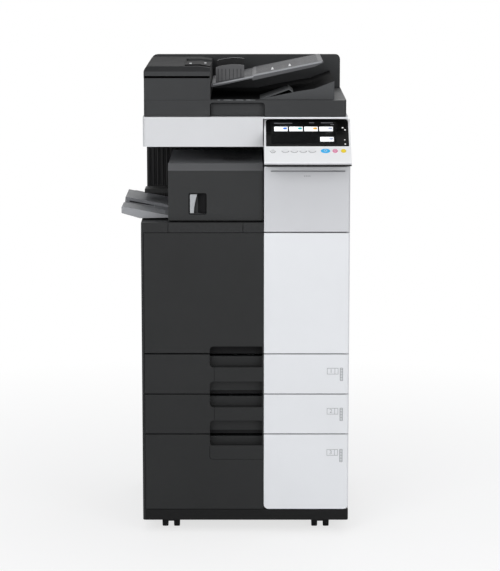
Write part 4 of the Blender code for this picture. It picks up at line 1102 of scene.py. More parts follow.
def make_tray_face(number, body):
    """The joint line between the finger grips, and the raised pad under the lowest grip."""
    left = CENTRE_X - 0.346 * HALF_W
    low, high = lo(f"tray_{number}"), hi(f"tray_{number}")
    bm = bmesh.new()
    if number < 3:
        below = (36 * MM, 39 * MM)[number - 1]
        add_box(bm, (left + 12 * MM, left + 12.9 * MM), (FRONT_Y - 0.12 * MM, FRONT_Y + 0.5 * MM),
                (low.z + below, high.z - 34 * MM))
        piece(f"grip_line_{number}", bm, "gap black and painted shade", body, 0)
        return
    top, right = high.z - 31 * MM, SPLIT_X - 0.6 * MM
    foot, line = top - 39 * MM, 0.9 * MM
    radii = (8 * MM, 0.5 * MM, 0.5 * MM, 4 * MM)
    add_prism(bm, rect((left - line, right), (foot - line, top), radii), "Y",
              (FRONT_Y - 0.15 * MM, FRONT_Y + 0.5 * MM))
    piece("grip_pad_line", bm, "gap black and painted shade", body, 0)
    bm = drawn(add_prism, rect((left, right), (foot, top), radii), "Y",
               (FRONT_Y - 0.7 * MM, FRONT_Y + 1 * MM))
    piece("grip_pad", bm, "dark cover", body, 0.5 * MM, segments=3)


def make_label(number, body, right_x, y, top):
    """The outlined figure and the paper level window on a tray front."""
    z = top - (47 * MM if number < 3 else 51 * MM)
    box_x = (right_x - 60.5 * MM, right_x - 29.5 * MM)
    line, half_h, proud = 1.1 * MM, 8.8 * MM, 0.3 * MM
    depth = (y - proud, y + 0.5 * MM)
    bm = bmesh.new()
    for x in (box_x[0], box_x[0] + 21 * MM, box_x[1] - line):
        add_box(bm, (x, x + line), depth, (z - half_h, z + half_h))
    for side in (-1, 1):
        edge = z + side * (half_h - line / 2)
        add_box(bm, (box_x[0] + line, box_x[1] - line), depth, (edge - line / 2, edge + line / 2))
    piece(f"label_frame_{number}", bm, "mark ink", body, 0)
    at = front_frame(box_x[0] + 11 * MM, y - 0.1 * MM, z)
    words(f"figure_{number}", str(number), 16 * MM, 0.25 * MM, at, "key grey and painted shade", body)
    bar_x = (right_x - 25 * MM, right_x - 16.5 * MM)
    bar_z = z - 9 * MM
    bm = drawn(add_box, bar_x, (y - 0.3 * MM, y + 0.5 * MM), (bar_z - 18.5 * MM, bar_z + 18.5 * MM),
               1 * MM, "Y")
    piece(f"level_window_{number}", bm, "mark ink", body, 0.1 * MM)
    bm = bmesh.new()
    seg = (bar_x[0] + 1.6 * MM, bar_x[1] - 1.6 * MM)
    add_box(bm, seg, (y - 0.5 * MM, y + 0.3 * MM), (bar_z - 16.6 * MM, bar_z - 14.2 * MM),
            0.3 * MM, "Y")
    row_of(f"level_segments_{number}", bm, "white cover", body, 1, (0, 0, 0), 8, (0, 0, 4.4 * MM))


def make_doors():
    """The doors of the front, the slot and dots on the upper one, and the ribs inside them."""
    refine("front_door", "dark cover", 0.9 * MM)
    refine("front_door_panel", "white cover", 0.9 * MM)
    # The upper door takes the darker copy of the white plastic: painted shade under the console.
    refine("upper_door", "white painted shade upper", 1.2 * MM)
    low, high = lo("upper_door"), hi("upper_door")
    bm = drawn(add_box, (low.x + 18 * MM, high.x - 14 * MM), (low.y - 0.15 * MM, low.y + 0.6 * MM),
               (high.z - 13.8 * MM, high.z - 9.6 * MM), 1 * MM, "Y")
    piece("upper_slot", bm, "edge grey and painted highlight", "upper_door", 0)
    bm = bmesh.new()
    dots, step = 4, 4.6 * MM
    x = (low.x + high.x - (dots - 1) * step) / 2
    add_disc(bm, "Y", (x, high.z - 25 * MM), 1.2 * MM, (low.y - 0.3 * MM, low.y + 0.4 * MM), 16,
             0.1 * MM)
    row_of("door_dots", bm, "key ink", "upper_door", dots, (step, 0, 0))
    step = 24 * MM
    for door, look in (("front_door", "dark cover"), ("upper_door", "white painted shade upper")):
        low, high = lo(door), hi(door)
        bm = drawn(add_box, (low.x + 22 * MM, low.x + 24 * MM),
                   (high.y - 0.6 * MM, high.y + 0.2 * MM), (low.z + 20 * MM, high.z - 14 * MM))
        count = int((high.x - low.x - 40 * MM) / step)
        row_of(door + "_ribs", bm, look, BODY[door], count, (step, 0, 0))


# ---------------------------------------------------------------- supplies behind the doors

def make_supplies():
    """What stands behind the doors: cartridges, waste box, transfer unit and carriage."""
    colours = ("yellow toner", "magenta toner", "cyan toner", "black toner")
    for number, colour in enumerate(colours, 1):
        name = f"toner_cartridge_{number}"
        refine(name, "dark inside", 1.5 * MM)
        low, high = lo(name), hi(name)
        bm = drawn(add_box, (low.x + 5 * MM, high.x - 5 * MM), (low.y - 0.8 * MM, low.y + 1 * MM),
                   (high.z - 44 * MM, high.z - 12 * MM), 5 * MM, "Y")
        piece(f"colour_plate_{number}", bm, colour, "cabinet", 0.3 * MM)
        bm = bmesh.new()
        centre = ((low.x + high.x) / 2, low.z + 74 * MM)
        add_disc(bm, "Y", centre, 10 * MM, (low.y - 2.5 * MM, low.y + 1 * MM), 40, 0.8 * MM)
        add_box(bm, about(centre[0], 2 * MM), (low.y - 4.5 * MM, low.y - 2 * MM),
                about(centre[1], 8 * MM), 1.5 * MM, "Y")
        piece(f"lock_knob_{number}", bm, "light inner", "cabinet", 0.2 * MM)
    refine("waste_toner_box", "milky tank", 2.0 * MM)
    refine("transfer_unit", "dark inside", 2.0 * MM)
    low, high = lo("transfer_unit"), hi("transfer_unit")
    bm = drawn(add_disc, "Y", (low.x + 40 * MM, high.z - 50 * MM), 13 * MM,
               (low.y - 3 * MM, low.y + 1 * MM), 40, 1 * MM)
    row_of("drum_ends", bm, "drum green", "cabinet", 4, (52 * MM, 0, 0))
    bm = drawn(add_box, (low.x + 30 * MM, low.x + 42 * MM), (low.y - 4 * MM, low.y + 1 * MM),
               (low.z + 40 * MM, low.z + 105 * MM), 5 * MM, "Y")
    row_of("release_handles", bm, "grip green", "cabinet", 2, (190 * MM, 0, 0), width=0.6 * MM)
    refine("scan_carriage", "dark inside", 1.0 * MM)
    low, high = lo("scan_carriage"), hi("scan_carriage")
    bm = drawn(add_box, (low.x + 12 * MM, low.x + 19 * MM), (low.y + 20 * MM, high.y - 20 * MM),
               (high.z - 0.5 * MM, high.z + 0.6 * MM), 2 * MM)
    row_of("scan_lamps", bm, "light inner", "scan_carriage", 2, (28 * MM, 0, 0))


# ---------------------------------------------------------------- inner finisher

def make_finisher():
    """The inner finisher: its case with slots and its top painted lighter, its door with a painted highlight on
    its top edge, lever and tray.
    """
    low, high = lo("finisher_case"), hi("finisher_case")
    vent = drawn(add_box, (low.x + 150 * MM, low.x + 153 * MM), (low.y + 60 * MM, low.y + 150 * MM),
                 (high.z - 1.6 * MM, high.z + 5 * MM), 1.4 * MM)
    slots = row_cutter("finisher_slots", vent, 10, (8 * MM, 0, 0))
    case = refine("finisher_case", "dark finisher", 2.0 * MM, (slots,))
    # Painted light: the case's top takes a lighter copy of its plastic.
    paint(case, "finisher top painted light",
          lambda face: face.normal.z > 0.9 and face.center.z > high.z - 1 * MM)
    door = refine("finisher_door", "dark finisher", 1.4 * MM)
    # Painted highlight: the door's top and chamfer take a lighter copy of its plastic.
    paint(door, "finisher edge painted highlight", lambda face: face.normal.z > 0.9
          or face.normal.z > 0.3 and face.normal.y < -0.3)
    make_lever()
    make_output_tray()


def make_lever():
    """The pale lever plate in its dark recess, with its curved edge towards the opening."""
    low, high = lo("finisher_lever"), hi("finisher_lever")
    edge, tall = 1.8 * MM, high.z - low.z
    left, bottom, top = low.x + edge, low.z + edge, high.z - edge
    bend = [(0.0, 12.0), (0.2, 12.6), (0.4, 14.0), (0.6, 16.0), (0.8, 18.4), (1.0, 21.0)]
    points = [(left, bottom, 1.5 * MM)]
    points += [(low.x + across * MM, bottom + share * (top - bottom)) for share, across in bend]
    points.append((left, top, 1.5 * MM))
    bm = drawn(add_prism, points, "Y", (low.y + 1.2 * MM, high.y), 6)
    body = BODY["finisher_lever"]
    piece("finisher_lever_shape", bm, "lever grey", body, 0.5 * MM, replaced=("finisher_lever",),
          segments=2)
    door = lo("finisher_door")
    recess_right = low.x + 45.2 * MM
    bm = bmesh.new()
    back = door.y + 15.6 * MM
    slope = [(high.x + 2 * MM, back), (recess_right, back), (recess_right, door.y + 2.5 * MM)]
    add_prism(bm, slope, "Z", (low.z + 1 * MM, high.z - 0.5 * MM))
    piece("lever_recess_plate", bm, "dark inside", BODY["finisher_door"], 0.5 * MM)
    # Painted shade: a black ring round the lever's recess.
    bm = bmesh.new()
    rim = 1.3 * MM
    x, z = (low.x - 0.5 * MM, low.x + 45.9 * MM), (low.z - 0.5 * MM, low.z + tall + 0.5 * MM)
    outer = rect((x[0] - rim, x[1] + rim), (z[0] - rim, z[1] + rim), 5 * MM)
    add_prism(bm, outer, "Y", (door.y - 0.15 * MM, door.y + 0.5 * MM))
    frame_piece = to_object("lever_recess_shade_rim", bm)
    bm = drawn(add_prism, rect(x, z, 4 * MM), "Y", (door.y - 2 * MM, door.y + 3 * MM))
    carve(frame_piece, to_object("rim_hole", bm))
    soften(frame_piece, 0)
    finish(frame_piece, "gap black and painted shade", BODY["finisher_door"])


def make_output_tray():
    """The finisher's output tray: its slab with three ribs, and the raised slab behind it."""
    low, high = lo("output_tray"), hi("output_tray")
    tray = refine("output_tray", "tray grey", 1.6 * MM, segments=4)
    # Painted light: the tray's front faces take the paler edge grey.
    paint(tray, "edge grey and painted highlight", lambda face: face.normal.y < -0.8)
    body = BODY["output_tray"]
    wide = lo("finisher_case").x - low.x
    rise, right = 7 * MM, low.x + wide - 1 * MM
    fall = 0.19 * (right - low.x)
    bm = bmesh.new()
    slab = [(low.x + 3 * MM, high.z + rise, 2 * MM), (low.x + 1 * MM, high.z - 13 * MM, 2 * MM),
            (right, high.z - fall - 8 * MM), (right, high.z + rise - fall)]
    add_prism(bm, slab, "Y", (FRONT_Y + 215 * MM, FRONT_Y + 385 * MM))
    piece("output_tray_back", bm, "tray grey", body, 1.2 * MM)
    slope = (high.z - low.z - 9.5 * MM) / wide
    bm = bmesh.new()
    for deep in (24, 48, 72):
        y = low.y + deep * MM
        for v in add_box(bm, (low.x + 20 * MM, low.x + wide - 12 * MM), (y, y + 2.4 * MM),
                         (-0.6 * MM, 0.9 * MM), 0.6 * MM, "X", 3):
            v.co.z += high.z - (v.co.x - low.x) * slope - 0.6 * MM
    piece("output_tray_ribs", bm, "tray grey", body, 0)


# ---------------------------------------------------------------- scanner and control panel

def make_scanner():
    """The scanner: its housing, the rim over the console, the glass with its scales, the arm."""
    # The scanner housing takes the darker copy of the white plastic: painted shade under the lid.
    refine("scanner_housing", "white painted shade scanner", 2.2 * MM, segments=4)
    refine("platen_glass", "platen glass", 0.4 * MM)
    top, wall = hi("scanner_housing").z - 0.2 * MM, PANEL_PIVOT.y + 2 * MM
    face, thick, tall = lo("scanner_housing").y + 0.2 * MM, 2.2 * MM, 4.8 * MM
    bm = bmesh.new()
    strip = [(face, top), (face, top - tall), (face + thick, top - tall),
             (face + thick, top - 1.8 * MM), (wall, top - 1.8 * MM), (wall, top)]
    add_prism(bm, strip, "X", (SPLIT_X - 4 * MM, hi("scanner_housing").x - 0.5 * MM))
    piece("console_rim", bm, "white cover", "cabinet", 0.5 * MM, segments=3)
    low, high = lo("platen_glass"), hi("platen_glass")
    level = (high.z - 0.2 * MM, high.z + 0.3 * MM)
    bm = drawn(add_box, (low.x + 1 * MM, low.x + 17 * MM), (low.y + 1 * MM, high.y - 1 * MM), level)
    add_box(bm, (low.x + 17 * MM, high.x - 1 * MM), (high.y - 15 * MM, high.y - 1 * MM), level)
    piece("scale_strips", bm, "white mark", "cabinet", 0)
    bm = drawn(add_box, (low.x + 24 * MM, low.x + 24.6 * MM), (high.y - 14.5 * MM, high.y - 9 * MM),
               (high.z + 0.2 * MM, high.z + 0.45 * MM))
    row_of("scale_marks", bm, "key ink", "cabinet", 44, (10 * MM, 0, 0))
    refine("panel_arm", "dark cover", 1.0 * MM)
    low, back = lo("panel_arm"), hi("upper_door").y
    bm = drawn(add_box, (low.x + 20 * MM, low.x + 23 * MM), (back - 12 * MM, back - 2 * MM),
               (low.z - 0.7 * MM, low.z + 0.5 * MM))
    row_of("panel_arm_ribs", bm, "dark inside", "cabinet", 15, (13 * MM, 0, 0))


def panel_plate(name, x, s, o, look, radius):
    """A thin plate on the panel: spans in x and s, with its two levels out of the surface."""
    bm = drawn(add_prism, rect(x, (-s[1], -s[0]), radius), "Z", o, 6)
    bm.transform(panel_frame(on_panel(0, 0)))
    piece(name, bm, look, "control_panel", 0)


def make_panel():
    """The control panel: its shell in two tones, the display with its tiles, lamps and keys."""
    made = copy_of("panel_body", "panel_body_shape")
    bm = bmesh.new()
    bm.from_mesh(made.data)
    seam = on_panel(0, 0, -4.5 * MM)
    bmesh.ops.bisect_plane(bm, geom=bm.verts[:] + bm.edges[:] + bm.faces[:], plane_co=seam,
                           plane_no=PANEL_OUT)
    bm.to_mesh(made.data)
    bm.free()
    soften(made, 1.0 * MM, 3)
    # The console shell takes the lighter copy of the white plastic: painted light on its upward face.
    finish(made, "white painted light console", BODY["panel_body"], ("panel_body",))
    # The faces turned down the console's slope take the darker white: painted shade.
    paint(made, "white painted shade upper", lambda face: face.normal.dot(PANEL_DOWN) > 0.6)
    paint(made, "dark cover", lambda face: (face.center - seam).dot(PANEL_OUT) < -0.1 * MM)
    refine("panel_glass", "screen glass", 0.35 * MM)
    left, right = lo("panel_glass").x, hi("panel_glass").x
    panel_plate("screen_field", (left + 14 * MM, right - 33 * MM), (17 * MM, 108 * MM),
                (0, 0.12 * MM), "screen field", 2 * MM)
    tile_w, step = 37 * MM, 41 * MM
    start = left + 22.5 * MM
    for k, look in enumerate(("tile blue", "tile teal", "tile amber", "tile grey")):
        make_tile(k + 1, start + k * step, 38 * MM, tile_w, look)
    make_tile(5, start + 3 * step + 1.5 * MM, 80 * MM, tile_w, "tile grey")
    lines = ((22, 72, 22), (118, 132, 20), (150, 183, 20), (176, 186, 27))
    for k, (x0, x1, s0) in enumerate(lines):
        panel_plate(f"screen_line_{k + 1}", (left + x0 * MM, left + x1 * MM),
                    (s0 * MM, (s0 + 3.2) * MM),
                    (0.1 * MM, 0.22 * MM), "screen line", 0.6 * MM)
    lamps = ((209, 42, 2.6), (215.5, 51, 2.4), (213.5, 92, 1.8), (214.5, 109, 2.2))
    for k, (x, s, r) in enumerate(lamps):
        bm = drawn(add_disc, "Z", (left + x * MM, -s * MM), r * MM, (0, 0.4 * MM), 24, 0.1 * MM)
        bm.transform(panel_frame(on_panel(0, 0)))
        piece(f"panel_lamp_{k + 1}", bm, "lamp white", "control_panel", 0)
    make_keys()


def make_tile(number, x, s, wide, look):
    """One lit tile of the screen, with a small coloured picture and two faint lines."""
    panel_plate(f"screen_tile_{number}", (x, x + wide), (s, s + 18.5 * MM), (0.1 * MM, 0.3 * MM),
                "screen tile", 1 * MM)
    picture = (x + wide - 13 * MM, x + wide - 2.5 * MM)
    panel_plate(f"tile_picture_{number}", picture, (s + 3 * MM, s + 11 * MM),
                (0.28 * MM, 0.42 * MM), look, 3 * MM)
    for k, reach in enumerate((12, 8)):
        row = s + (7 + 5 * k) * MM
        panel_plate(f"tile_line_{number}_{k + 1}", (x + 3 * MM, x + (3 + reach) * MM),
                    (row, row + 1.4 * MM),
                    (0.28 * MM, 0.36 * MM), "tile grey", 0.4 * MM)


def ring_on_key(name, key, radii, look):
    """A thin printed ring round the middle of a key cap."""
    top = 1.5 * MM
    bm = bmesh.new()
    steps = 28
    turns = [2 * math.pi * k / steps for k in range(steps)]
    loops = []
    for scale, level in ((radii[0], top), (radii[1], top), (radii[1], top + 0.15 * MM),
                         (radii[0], top + 0.15 * MM)):
        loops.append([bm.verts.new((scale * math.cos(turn), scale * math.sin(turn), level))
                      for turn in turns])
    for first, second in zip(loops, loops[1:] + loops[:1]):
        for k in range(steps):
            j = (k + 1) % steps
            bm.faces.new((first[k], first[j], second[j], second[k]))
    bmesh.ops.recalc_face_normals(bm, faces=bm.faces)
    bm.transform(panel_frame(at_surface(key)))
    piece(name, bm, look, BODY[key], 0)


def at_surface(key):
    """The point of a key's axis on the console's surface."""
    centre = mid(key)
    rise = (centre - on_panel(centre.x, 0)).dot(PANEL_OUT)
    return centre - PANEL_OUT * rise


def make_keys():
    """The keys of the console, with their printed rings and the painted shade under the pale ones."""
    looks = {"home_key": "key white", "start_key": "start blue", "stop_key": "stop pink",
             "reset_key": "reset yellow"}
    for k in range(1, 5):
        looks[f"function_key_{k}"] = "key white"
    for key, look in looks.items():
        refine(key, look, 0.5 * MM)
        if look == "key white":
            make_key_rim(key)
    ring_on_key("home_ring", "home_key", (2.6 * MM, 3.4 * MM), "key grey and painted shade")
    ring_on_key("stop_ring", "stop_key", (2.8 * MM, 3.6 * MM), "white mark")
    ring_on_key("start_ring", "start_key", (3.2 * MM, 4.2 * MM), "white mark")


def make_key_rim(key):
    """Painted shade: a grey half-ring on the console under the lower half of a pale key."""
    low, high = lo(key), hi(key)
    half = (high.x - low.x) / 2
    steps = 20
    bm = bmesh.new()
    points = []
    for wide, deep, turns in ((half + 1.9 * MM, 8.4 * MM, range(steps + 1)),
                              (half + 0.6 * MM, 6.6 * MM, range(steps, -1, -1))):
        for k in turns:
            angle = math.pi + math.pi * k / steps
            points.append((wide * math.cos(angle), deep * math.sin(angle)))
    add_prism(bm, points, "Z", (-0.2 * MM, 0.25 * MM))
    bm.transform(panel_frame(at_surface(key)))
    piece(key + "_rim", bm, "key grey and painted shade", "control_panel", 0)


# ---------------------------------------------------------------- document feeder

LID_TOP = hi("adf_base").z - 97 * MM
WING_FRONT = FRONT_Y + 60 * MM


def make_feeder():
    """The lid and its document feeder."""
    base = refine("adf_base", "dark feeder", 1.6 * MM)

    def in_wing(face):
        return face.center.x > CENTRE_X and LID_TOP + 2 * MM < face.center.z < LID_TOP + 55 * MM

    # Painted shade: the upward faces of the recess under the document tray are near black.
    paint(base, "wing painted shade", lambda face: in_wing(face) and face.normal.z > 0.8)
    paint(base, "wing grey and painted highlight", lambda face: in_wing(face) and face.normal.y < -0.8
          and abs(face.center.y - WING_FRONT) < 3 * MM)
    make_exit_flap()
    make_lid_grip()
    refine("platen_pad", "white pad", 1.5 * MM)
    make_feeder_cover()
    make_roller()
    make_tray_top()
    make_front_ticks()


def make_exit_flap():
    """The flap that stops the sheets as they leave the feeder, its lighter grey a painted highlight, and the floor
    before it, near black for painted shade.
    """
    left = CENTRE_X + 39 * MM
    shape = ((0, 1.2), (80, 30), (93, 19), (91, 17.4), (80, 26), (9, 0.6))
    bm = drawn(add_prism, [(left + x * MM, LID_TOP + z * MM) for x, z in shape], "Y",
               (WING_FRONT + 2 * MM, WING_FRONT + 130 * MM))
    # Painted highlight: the flap's lighter grey stands for the light along its flange.
    piece("exit_flap", bm, "wing grey and painted highlight", "adf_lid", 0.4 * MM)
    # Painted shade: a near-black plate on the floor under the document tray.
    bm = drawn(add_box, (hi("feeder_cover").x + 1 * MM, left - 1 * MM),
               (WING_FRONT + 4 * MM, WING_FRONT + 400 * MM),
               (LID_TOP - 0.5 * MM, LID_TOP + 0.4 * MM), 2 * MM)
    piece("exit_floor", bm, "wing painted shade", "adf_lid", 0.2 * MM)


def make_lid_grip():
    """Painted shade: a black line round the finger hollow under the lid's front edge."""
    low = lo("adf_base")
    line, proud = 1.5 * MM, 0.2 * MM
    x = (CENTRE_X - 0.332 * HALF_W, SPLIT_X)
    z = (low.z + 0.4 * MM, LID_TOP - 8 * MM)
    bm = bmesh.new()
    points = [(x[0] - line, z[0]), (x[0] - line, z[1] + line, 8 * MM),
              (x[1] + line, z[1] + line, 8 * MM), (x[1] + line, z[0]),
              (x[1], z[0]), (x[1], z[1], 6 * MM), (x[0], z[1], 6 * MM), (x[0], z[0])]
    add_prism(bm, points, "Y", (low.y - proud, low.y + 1 * MM), 8)
    piece("lid_grip_shade_line", bm, "gap black and painted shade", "adf_lid", 0)


def make_feeder_cover():
    """The cover over the feed roller, a black strip for the painted shadow in the gap under it, its upward faces
    in painted shade, and its lever with two painted highlights.
    """
    low, high = lo("feeder_cover"), hi("feeder_cover")
    cover = refine("feeder_cover", "dark feeder", 1.4 * MM)
    # Painted shade: the cover's upward faces take a darker copy of its plastic.
    paint(cover, "dark feeder top painted shade", lambda face: face.normal.z > 0.25)
    # Painted shadow: a black strip in the gap under the cover's front.
    bm = drawn(add_box, (low.x + 1.2 * MM, high.x - 1.2 * MM), (low.y + 0.4 * MM, low.y + 2.4 * MM),
               (low.z - 0.2 * MM, low.z + 5.4 * MM))
    piece("cover_gap_shadow", bm, "gap black and painted shade", "feeder_cover", 0)
    refine("cover_lever", "dark lever", 1.0 * MM)
    low, high = lo("cover_lever"), hi("cover_lever")
    # Painted highlights: two small grey marks on top of the dark lever.
    bm = bmesh.new()
    for across, deep, rise in ((12, 20, 0.2), (52, 60, -1.6)):
        x, y, top = low.x + across * MM, low.y + deep * MM, high.z + rise * MM
        add_box(bm, (x, x + 6 * MM), (y, y + 34 * MM), (top - 1 * MM, top), 2.5 * MM)
    piece("cover_lever_highlights", bm, "lever grey", "cover_lever", 0.2 * MM)


def make_roller():
    """The feed roller: a steel shaft with three rubber tyres."""
    low, high = lo("feed_roller"), hi("feed_roller")
    centre = mid("feed_roller")
    radius = (high.z - low.z) / 2
    bm = drawn(add_disc, "Y", (centre.x, centre.z), 4 * MM, (low.y, high.y), 24, 0.5 * MM)
    piece("roller_shaft", bm, "bright steel", "feed_roller", 0, replaced=("feed_roller",))
    wide, round_by = 24 * MM, 0.5 * MM
    profile = [(4 * MM, 0), (radius - round_by, 0), (radius, 0.6 * MM), (radius, wide - 0.6 * MM),
               (radius - round_by, wide), (4 * MM, wide)]
    for number, y in enumerate((low.y + 10 * MM, centre.y - wide / 2, high.y - 10 * MM - wide), 1):
        bm = drawn(add_lathe, profile, "Y", (centre.x, y, centre.z), 48)
        piece(f"roller_tyre_{number}", bm, "roller rubber", "feed_roller", 0)


def tray_line():
    """The document tray's top as a point and a slope."""
    low, high = lo("document_tray"), hi("document_tray")
    pivot = Vector(JOINTS["document_tray_hinge"]["pos_m"])
    start = Vector((pivot.x, pivot.z + 4.5 * MM))
    slope = (high.z - start.y) / (high.x - start.x)
    return start, slope, low, high


def make_tray_top():
    """The document tray's ribs, its raised outer part, its front edge in pale grey for a painted highlight, and
    the size marks.
    """
    start, slope, low, high = tray_line()
    refine("document_tray", "document tray grey", 1.2 * MM, segments=4)

    def level(x):
        return start.y + slope * (x - start.x)

    def tilted(bm, x, y, z, radius=0.0):
        for v in add_box(bm, x, y, z, radius, "X", 3):
            v.co.z += level(v.co.x)

    step = CENTRE_X + 21.5 * MM
    raised = 2.4 * MM
    bm = bmesh.new()
    for k in range(11):
        y = low.y + (26 + 25 * k) * MM
        tilted(bm, (start.x + 16 * MM, step - 3 * MM), (y, y + 2 * MM), (-0.4 * MM, 0.8 * MM),
               0.6 * MM)
        tilted(bm, (step + 8 * MM, high.x - 14 * MM), (y, y + 2 * MM),
               (raised - 0.4 * MM, raised + 0.6 * MM), 0.6 * MM)
    piece("document_tray_ribs", bm, "document tray grey", "document_tray", 0)
    bm = bmesh.new()
    tilted(bm, (step, high.x - 4 * MM), (low.y + 1 * MM, high.y - 1 * MM), (-0.5 * MM, raised))
    piece("document_tray_step", bm, "document tray grey", "document_tray", 0.6 * MM)
    # Painted highlight: a pale strip along the tray's front edge.
    bm = bmesh.new()
    tilted(bm, (low.x + 6 * MM, step), (low.y - 0.3 * MM, low.y + 0.8 * MM), (-4.6 * MM, -0.4 * MM))
    tilted(bm, (step, high.x - 4 * MM), (low.y - 0.3 * MM, low.y + 1.2 * MM),
           (-2.2 * MM, raised - 0.3 * MM))
    piece("document_tray_edge", bm, "edge grey and painted highlight", "document_tray", 0.2 * MM)
    bm = bmesh.new()
    for x in (CENTRE_X + 71 * MM, CENTRE_X + 119 * MM):
        near, far = low.y + 50 * MM, low.y + 125 * MM
        corners = ((x, near), (x + 7 * MM, near), (x + 5 * MM, far), (x + 2.5 * MM, far))
        for v in add_prism(bm, corners, "Z", (raised + 0.1 * MM, raised + 0.9 * MM)):
            v.co.z += level(v.co.x)
    piece("size_marks", bm, "white mark", "document_tray", 0)
    make_guide("front_guide", "guide grey", level)
    # The rear guide takes the near-black copy: painted shade behind the front guide.
    make_guide("rear_guide", "guide painted shade", level)


def make_guide(name, look, level):
    """A paper guide: an upright plate with an arched top and fine upright ribs, on a flat foot."""
    low, high = lo(name), hi(name)
    body = BODY[name]
    peak = high.x - 25 * MM
    bottom = 1.4 * MM
    steps = 14
    points = [(low.x, level(low.x) + bottom), (high.x, level(high.x) + bottom)]
    for k in range(steps + 1):
        x = high.x + (low.x - high.x) * k / steps
        far = (x - peak) / (low.x - peak) if x < peak else (peak - x) / (high.x - peak)
        drop = 8 * MM if x < peak else 2.5 * MM
        points.append((x, high.z - drop * far * far))
    bm = drawn(add_prism, points, "Y", (low.y, high.y))
    plate = piece(name + "_plate", bm, look, body, 0.8 * MM, replaced=(name,))
    # Painted highlight: the rear guide's top faces take the pale edge grey.
    paint(plate, "edge grey and painted highlight" if look == "guide painted shade" else look, lambda face: face.normal.z > 0.6)
    bm = bmesh.new()
    for k in range(7):
        x = low.x + (6 + 10.4 * k) * MM
        add_box(bm, (x, x + 1.5 * MM), (low.y - 0.3 * MM, high.y + 0.3 * MM),
                (level(x) + 3 * MM, high.z - 12 * MM))
    # Painted shade: the ribs take the near-black copy of the guide plastic.
    piece(name + "_ribs", bm, "guide painted shade", body, 0)
    bm = bmesh.new()
    foot_y = (low.y, low.y + 34 * MM) if name == "front_guide" else (high.y - 34 * MM, high.y)
    for v in add_box(bm, (low.x, high.x), foot_y, (0.9 * MM, 2.2 * MM)):
        v.co.z += level(v.co.x)
    piece(name + "_foot", bm, "guide grey", body, 0.4 * MM)


def make_front_ticks():
    """The pale size marks on the lid's front edge, and the ribs on its back."""
    low, high = lo("adf_base"), hi("adf_base")
    bm = bmesh.new()
    start = CENTRE_X - 76 * MM
    for across, wide in ((0, 7), (16, 26), (50, 21), (77, 26)):
        x = start + across * MM
        add_box(bm, (x, x + wide * MM), (low.y + 5 * MM, low.y + 17 * MM),
                (LID_TOP - 0.2 * MM, LID_TOP + 0.3 * MM))
    piece("size_ticks", bm, "lever grey", "adf_lid", 0)
    rib = drawn(add_box, (low.x + 60 * MM, low.x + 63 * MM), (high.y - 2 * MM, high.y + 0.4 * MM),
                (LID_TOP + 20 * MM, LID_TOP + 70 * MM), 1.4 * MM, "Y")
    row_of("lid_back_ribs", rib, "dark inside", "adf_lid", 40, (11 * MM, 0, 0))


# ---------------------------------------------------------------- stage, light and camera

def make_stage():
    """A pale floor that shows the shadow near the machine and fades to white far from it."""
    bm = bmesh.new()
    bmesh.ops.create_grid(bm, x_segments=1, y_segments=1, size=14)
    floor = to_object("floor", bm)
    made = bpy.data.materials.new("pale floor")
    made.use_nodes = True
    tree = made.node_tree
    shader = tree.nodes["Principled BSDF"]
    shader.inputs["Base Color"].default_value = (0.90, 0.90, 0.90, 1)
    shader.inputs["Roughness"].default_value = 0.9
    plain = tree.nodes.new("ShaderNodeEmission")
    plain.inputs["Color"].default_value = (1, 1, 1, 1)
    paths = tree.nodes.new("ShaderNodeLightPath")
    place = tree.nodes.new("ShaderNodeTexCoord").outputs["Object"]
    far = tree.nodes.new("ShaderNodeVectorMath")
    far.operation = "LENGTH"
    wire(tree, (place, far.inputs[0]))
    fade = spread(tree, far.outputs["Value"], 0.5, 2.2, 0.72, 1.0)
    seen = math_node(tree, "MULTIPLY", fade, paths.outputs["Is Camera Ray"])
    mix = tree.nodes.new("ShaderNodeMixShader")
    out = tree.nodes["Material Output"]
    wire(tree, (seen, mix.inputs[0]), (shader.outputs[0], mix.inputs[1]),
         (plain.outputs[0], mix.inputs[2]),
         (mix.outputs[0], out.inputs["Surface"]))
    floor.data.materials.append(made)


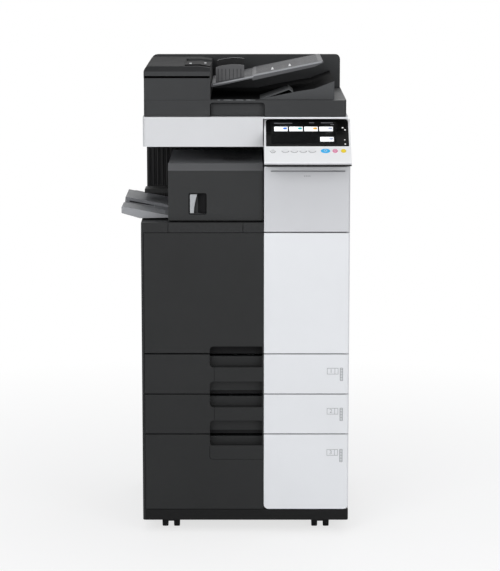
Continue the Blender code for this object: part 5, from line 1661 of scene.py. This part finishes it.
def make_world():
    """Soft light from all round, with a white background in view and in reflections."""
    world = bpy.data.worlds.new("studio")
    bpy.context.scene.world = world
    world.use_nodes = True
    tree = world.node_tree
    ground = tree.nodes["Background"]
    ground.inputs["Color"].default_value = (0.93, 0.95, 1.0, 1)
    ground.inputs["Strength"].default_value = 0.42
    white = tree.nodes.new("ShaderNodeBackground")
    white.inputs["Color"].default_value = (1, 1, 1, 1)
    white.inputs["Strength"].default_value = 1.0
    paths = tree.nodes.new("ShaderNodeLightPath")
    seen = math_node(tree, "MAXIMUM", paths.outputs["Is Camera Ray"],
                     paths.outputs["Is Transmission Ray"])
    seen = math_node(tree, "MAXIMUM", seen, paths.outputs["Is Glossy Ray"])
    mix = tree.nodes.new("ShaderNodeMixShader")
    wire(tree, (seen, mix.inputs[0]), (ground.outputs[0], mix.inputs[1]),
         (white.outputs[0], mix.inputs[2]),
         (mix.outputs[0], tree.nodes["World Output"].inputs["Surface"]))


def lamp(name, place, target, size, power):
    """A soft box in metres and watts, turned to its target."""
    light = bpy.data.lights.new(name, "AREA")
    light.shape = "RECTANGLE"
    light.size, light.size_y = size
    light.energy = power
    made = bpy.data.objects.new(name, light)
    made.location = place
    made.rotation_euler = (Vector(target) - Vector(place)).to_track_quat("-Z", "Y").to_euler()
    bpy.context.scene.collection.objects.link(made)


def make_lights():
    aim = (CENTRE_X, 0, 0.75)
    lamp("key softbox", (CENTRE_X - 1.5, FRONT_Y - 3.2, 2.3), aim, (1.8, 2.2), 55)
    lamp("fill softbox", (CENTRE_X + 2.0, FRONT_Y - 3.0, 1.5), aim, (1.6, 2.4), 40)
    lamp("top softbox", (CENTRE_X - 0.2, FRONT_Y - 1.2, 3.3), aim, (1.8, 1.2), 10)
    lamp("back softbox", (CENTRE_X + 0.5, 2.6, 3.2), aim, (2.2, 1.6), 22)


# Where the camera stands, in metres from the machine's front, and how far it looks down.
CAMERA_BACK = 6.10
CAMERA_RIGHT = 0.0124
CAMERA_HEIGHT = 1.7325
CAMERA_PITCH = math.radians(9.6)
CAMERA_LENS = 142.04


def make_camera():
    data = bpy.data.cameras.new("camera")
    data.lens = CAMERA_LENS
    data.sensor_width = 36
    data.clip_end = 60
    made = bpy.data.objects.new("camera", data)
    made.location = (CENTRE_X + CAMERA_RIGHT, FRONT_Y - CAMERA_BACK, CAMERA_HEIGHT)
    made.rotation_euler = (math.radians(90) - CAMERA_PITCH, 0, 0)
    bpy.context.scene.collection.objects.link(made)
    bpy.context.scene.camera = made


def build():
    make_camera()
    make_world()
    make_lights()
    make_stage()
    make_cabinet()
    for place in ("front_left", "front_right", "rear_left", "rear_right"):
        make_caster(place)
    for number in (1, 2, 3):
        make_tray(number)
    make_doors()
    make_supplies()
    make_finisher()
    make_scanner()
    make_panel()
    make_feeder()
    bpy.context.scene.view_settings.view_transform = "Standard"


build()
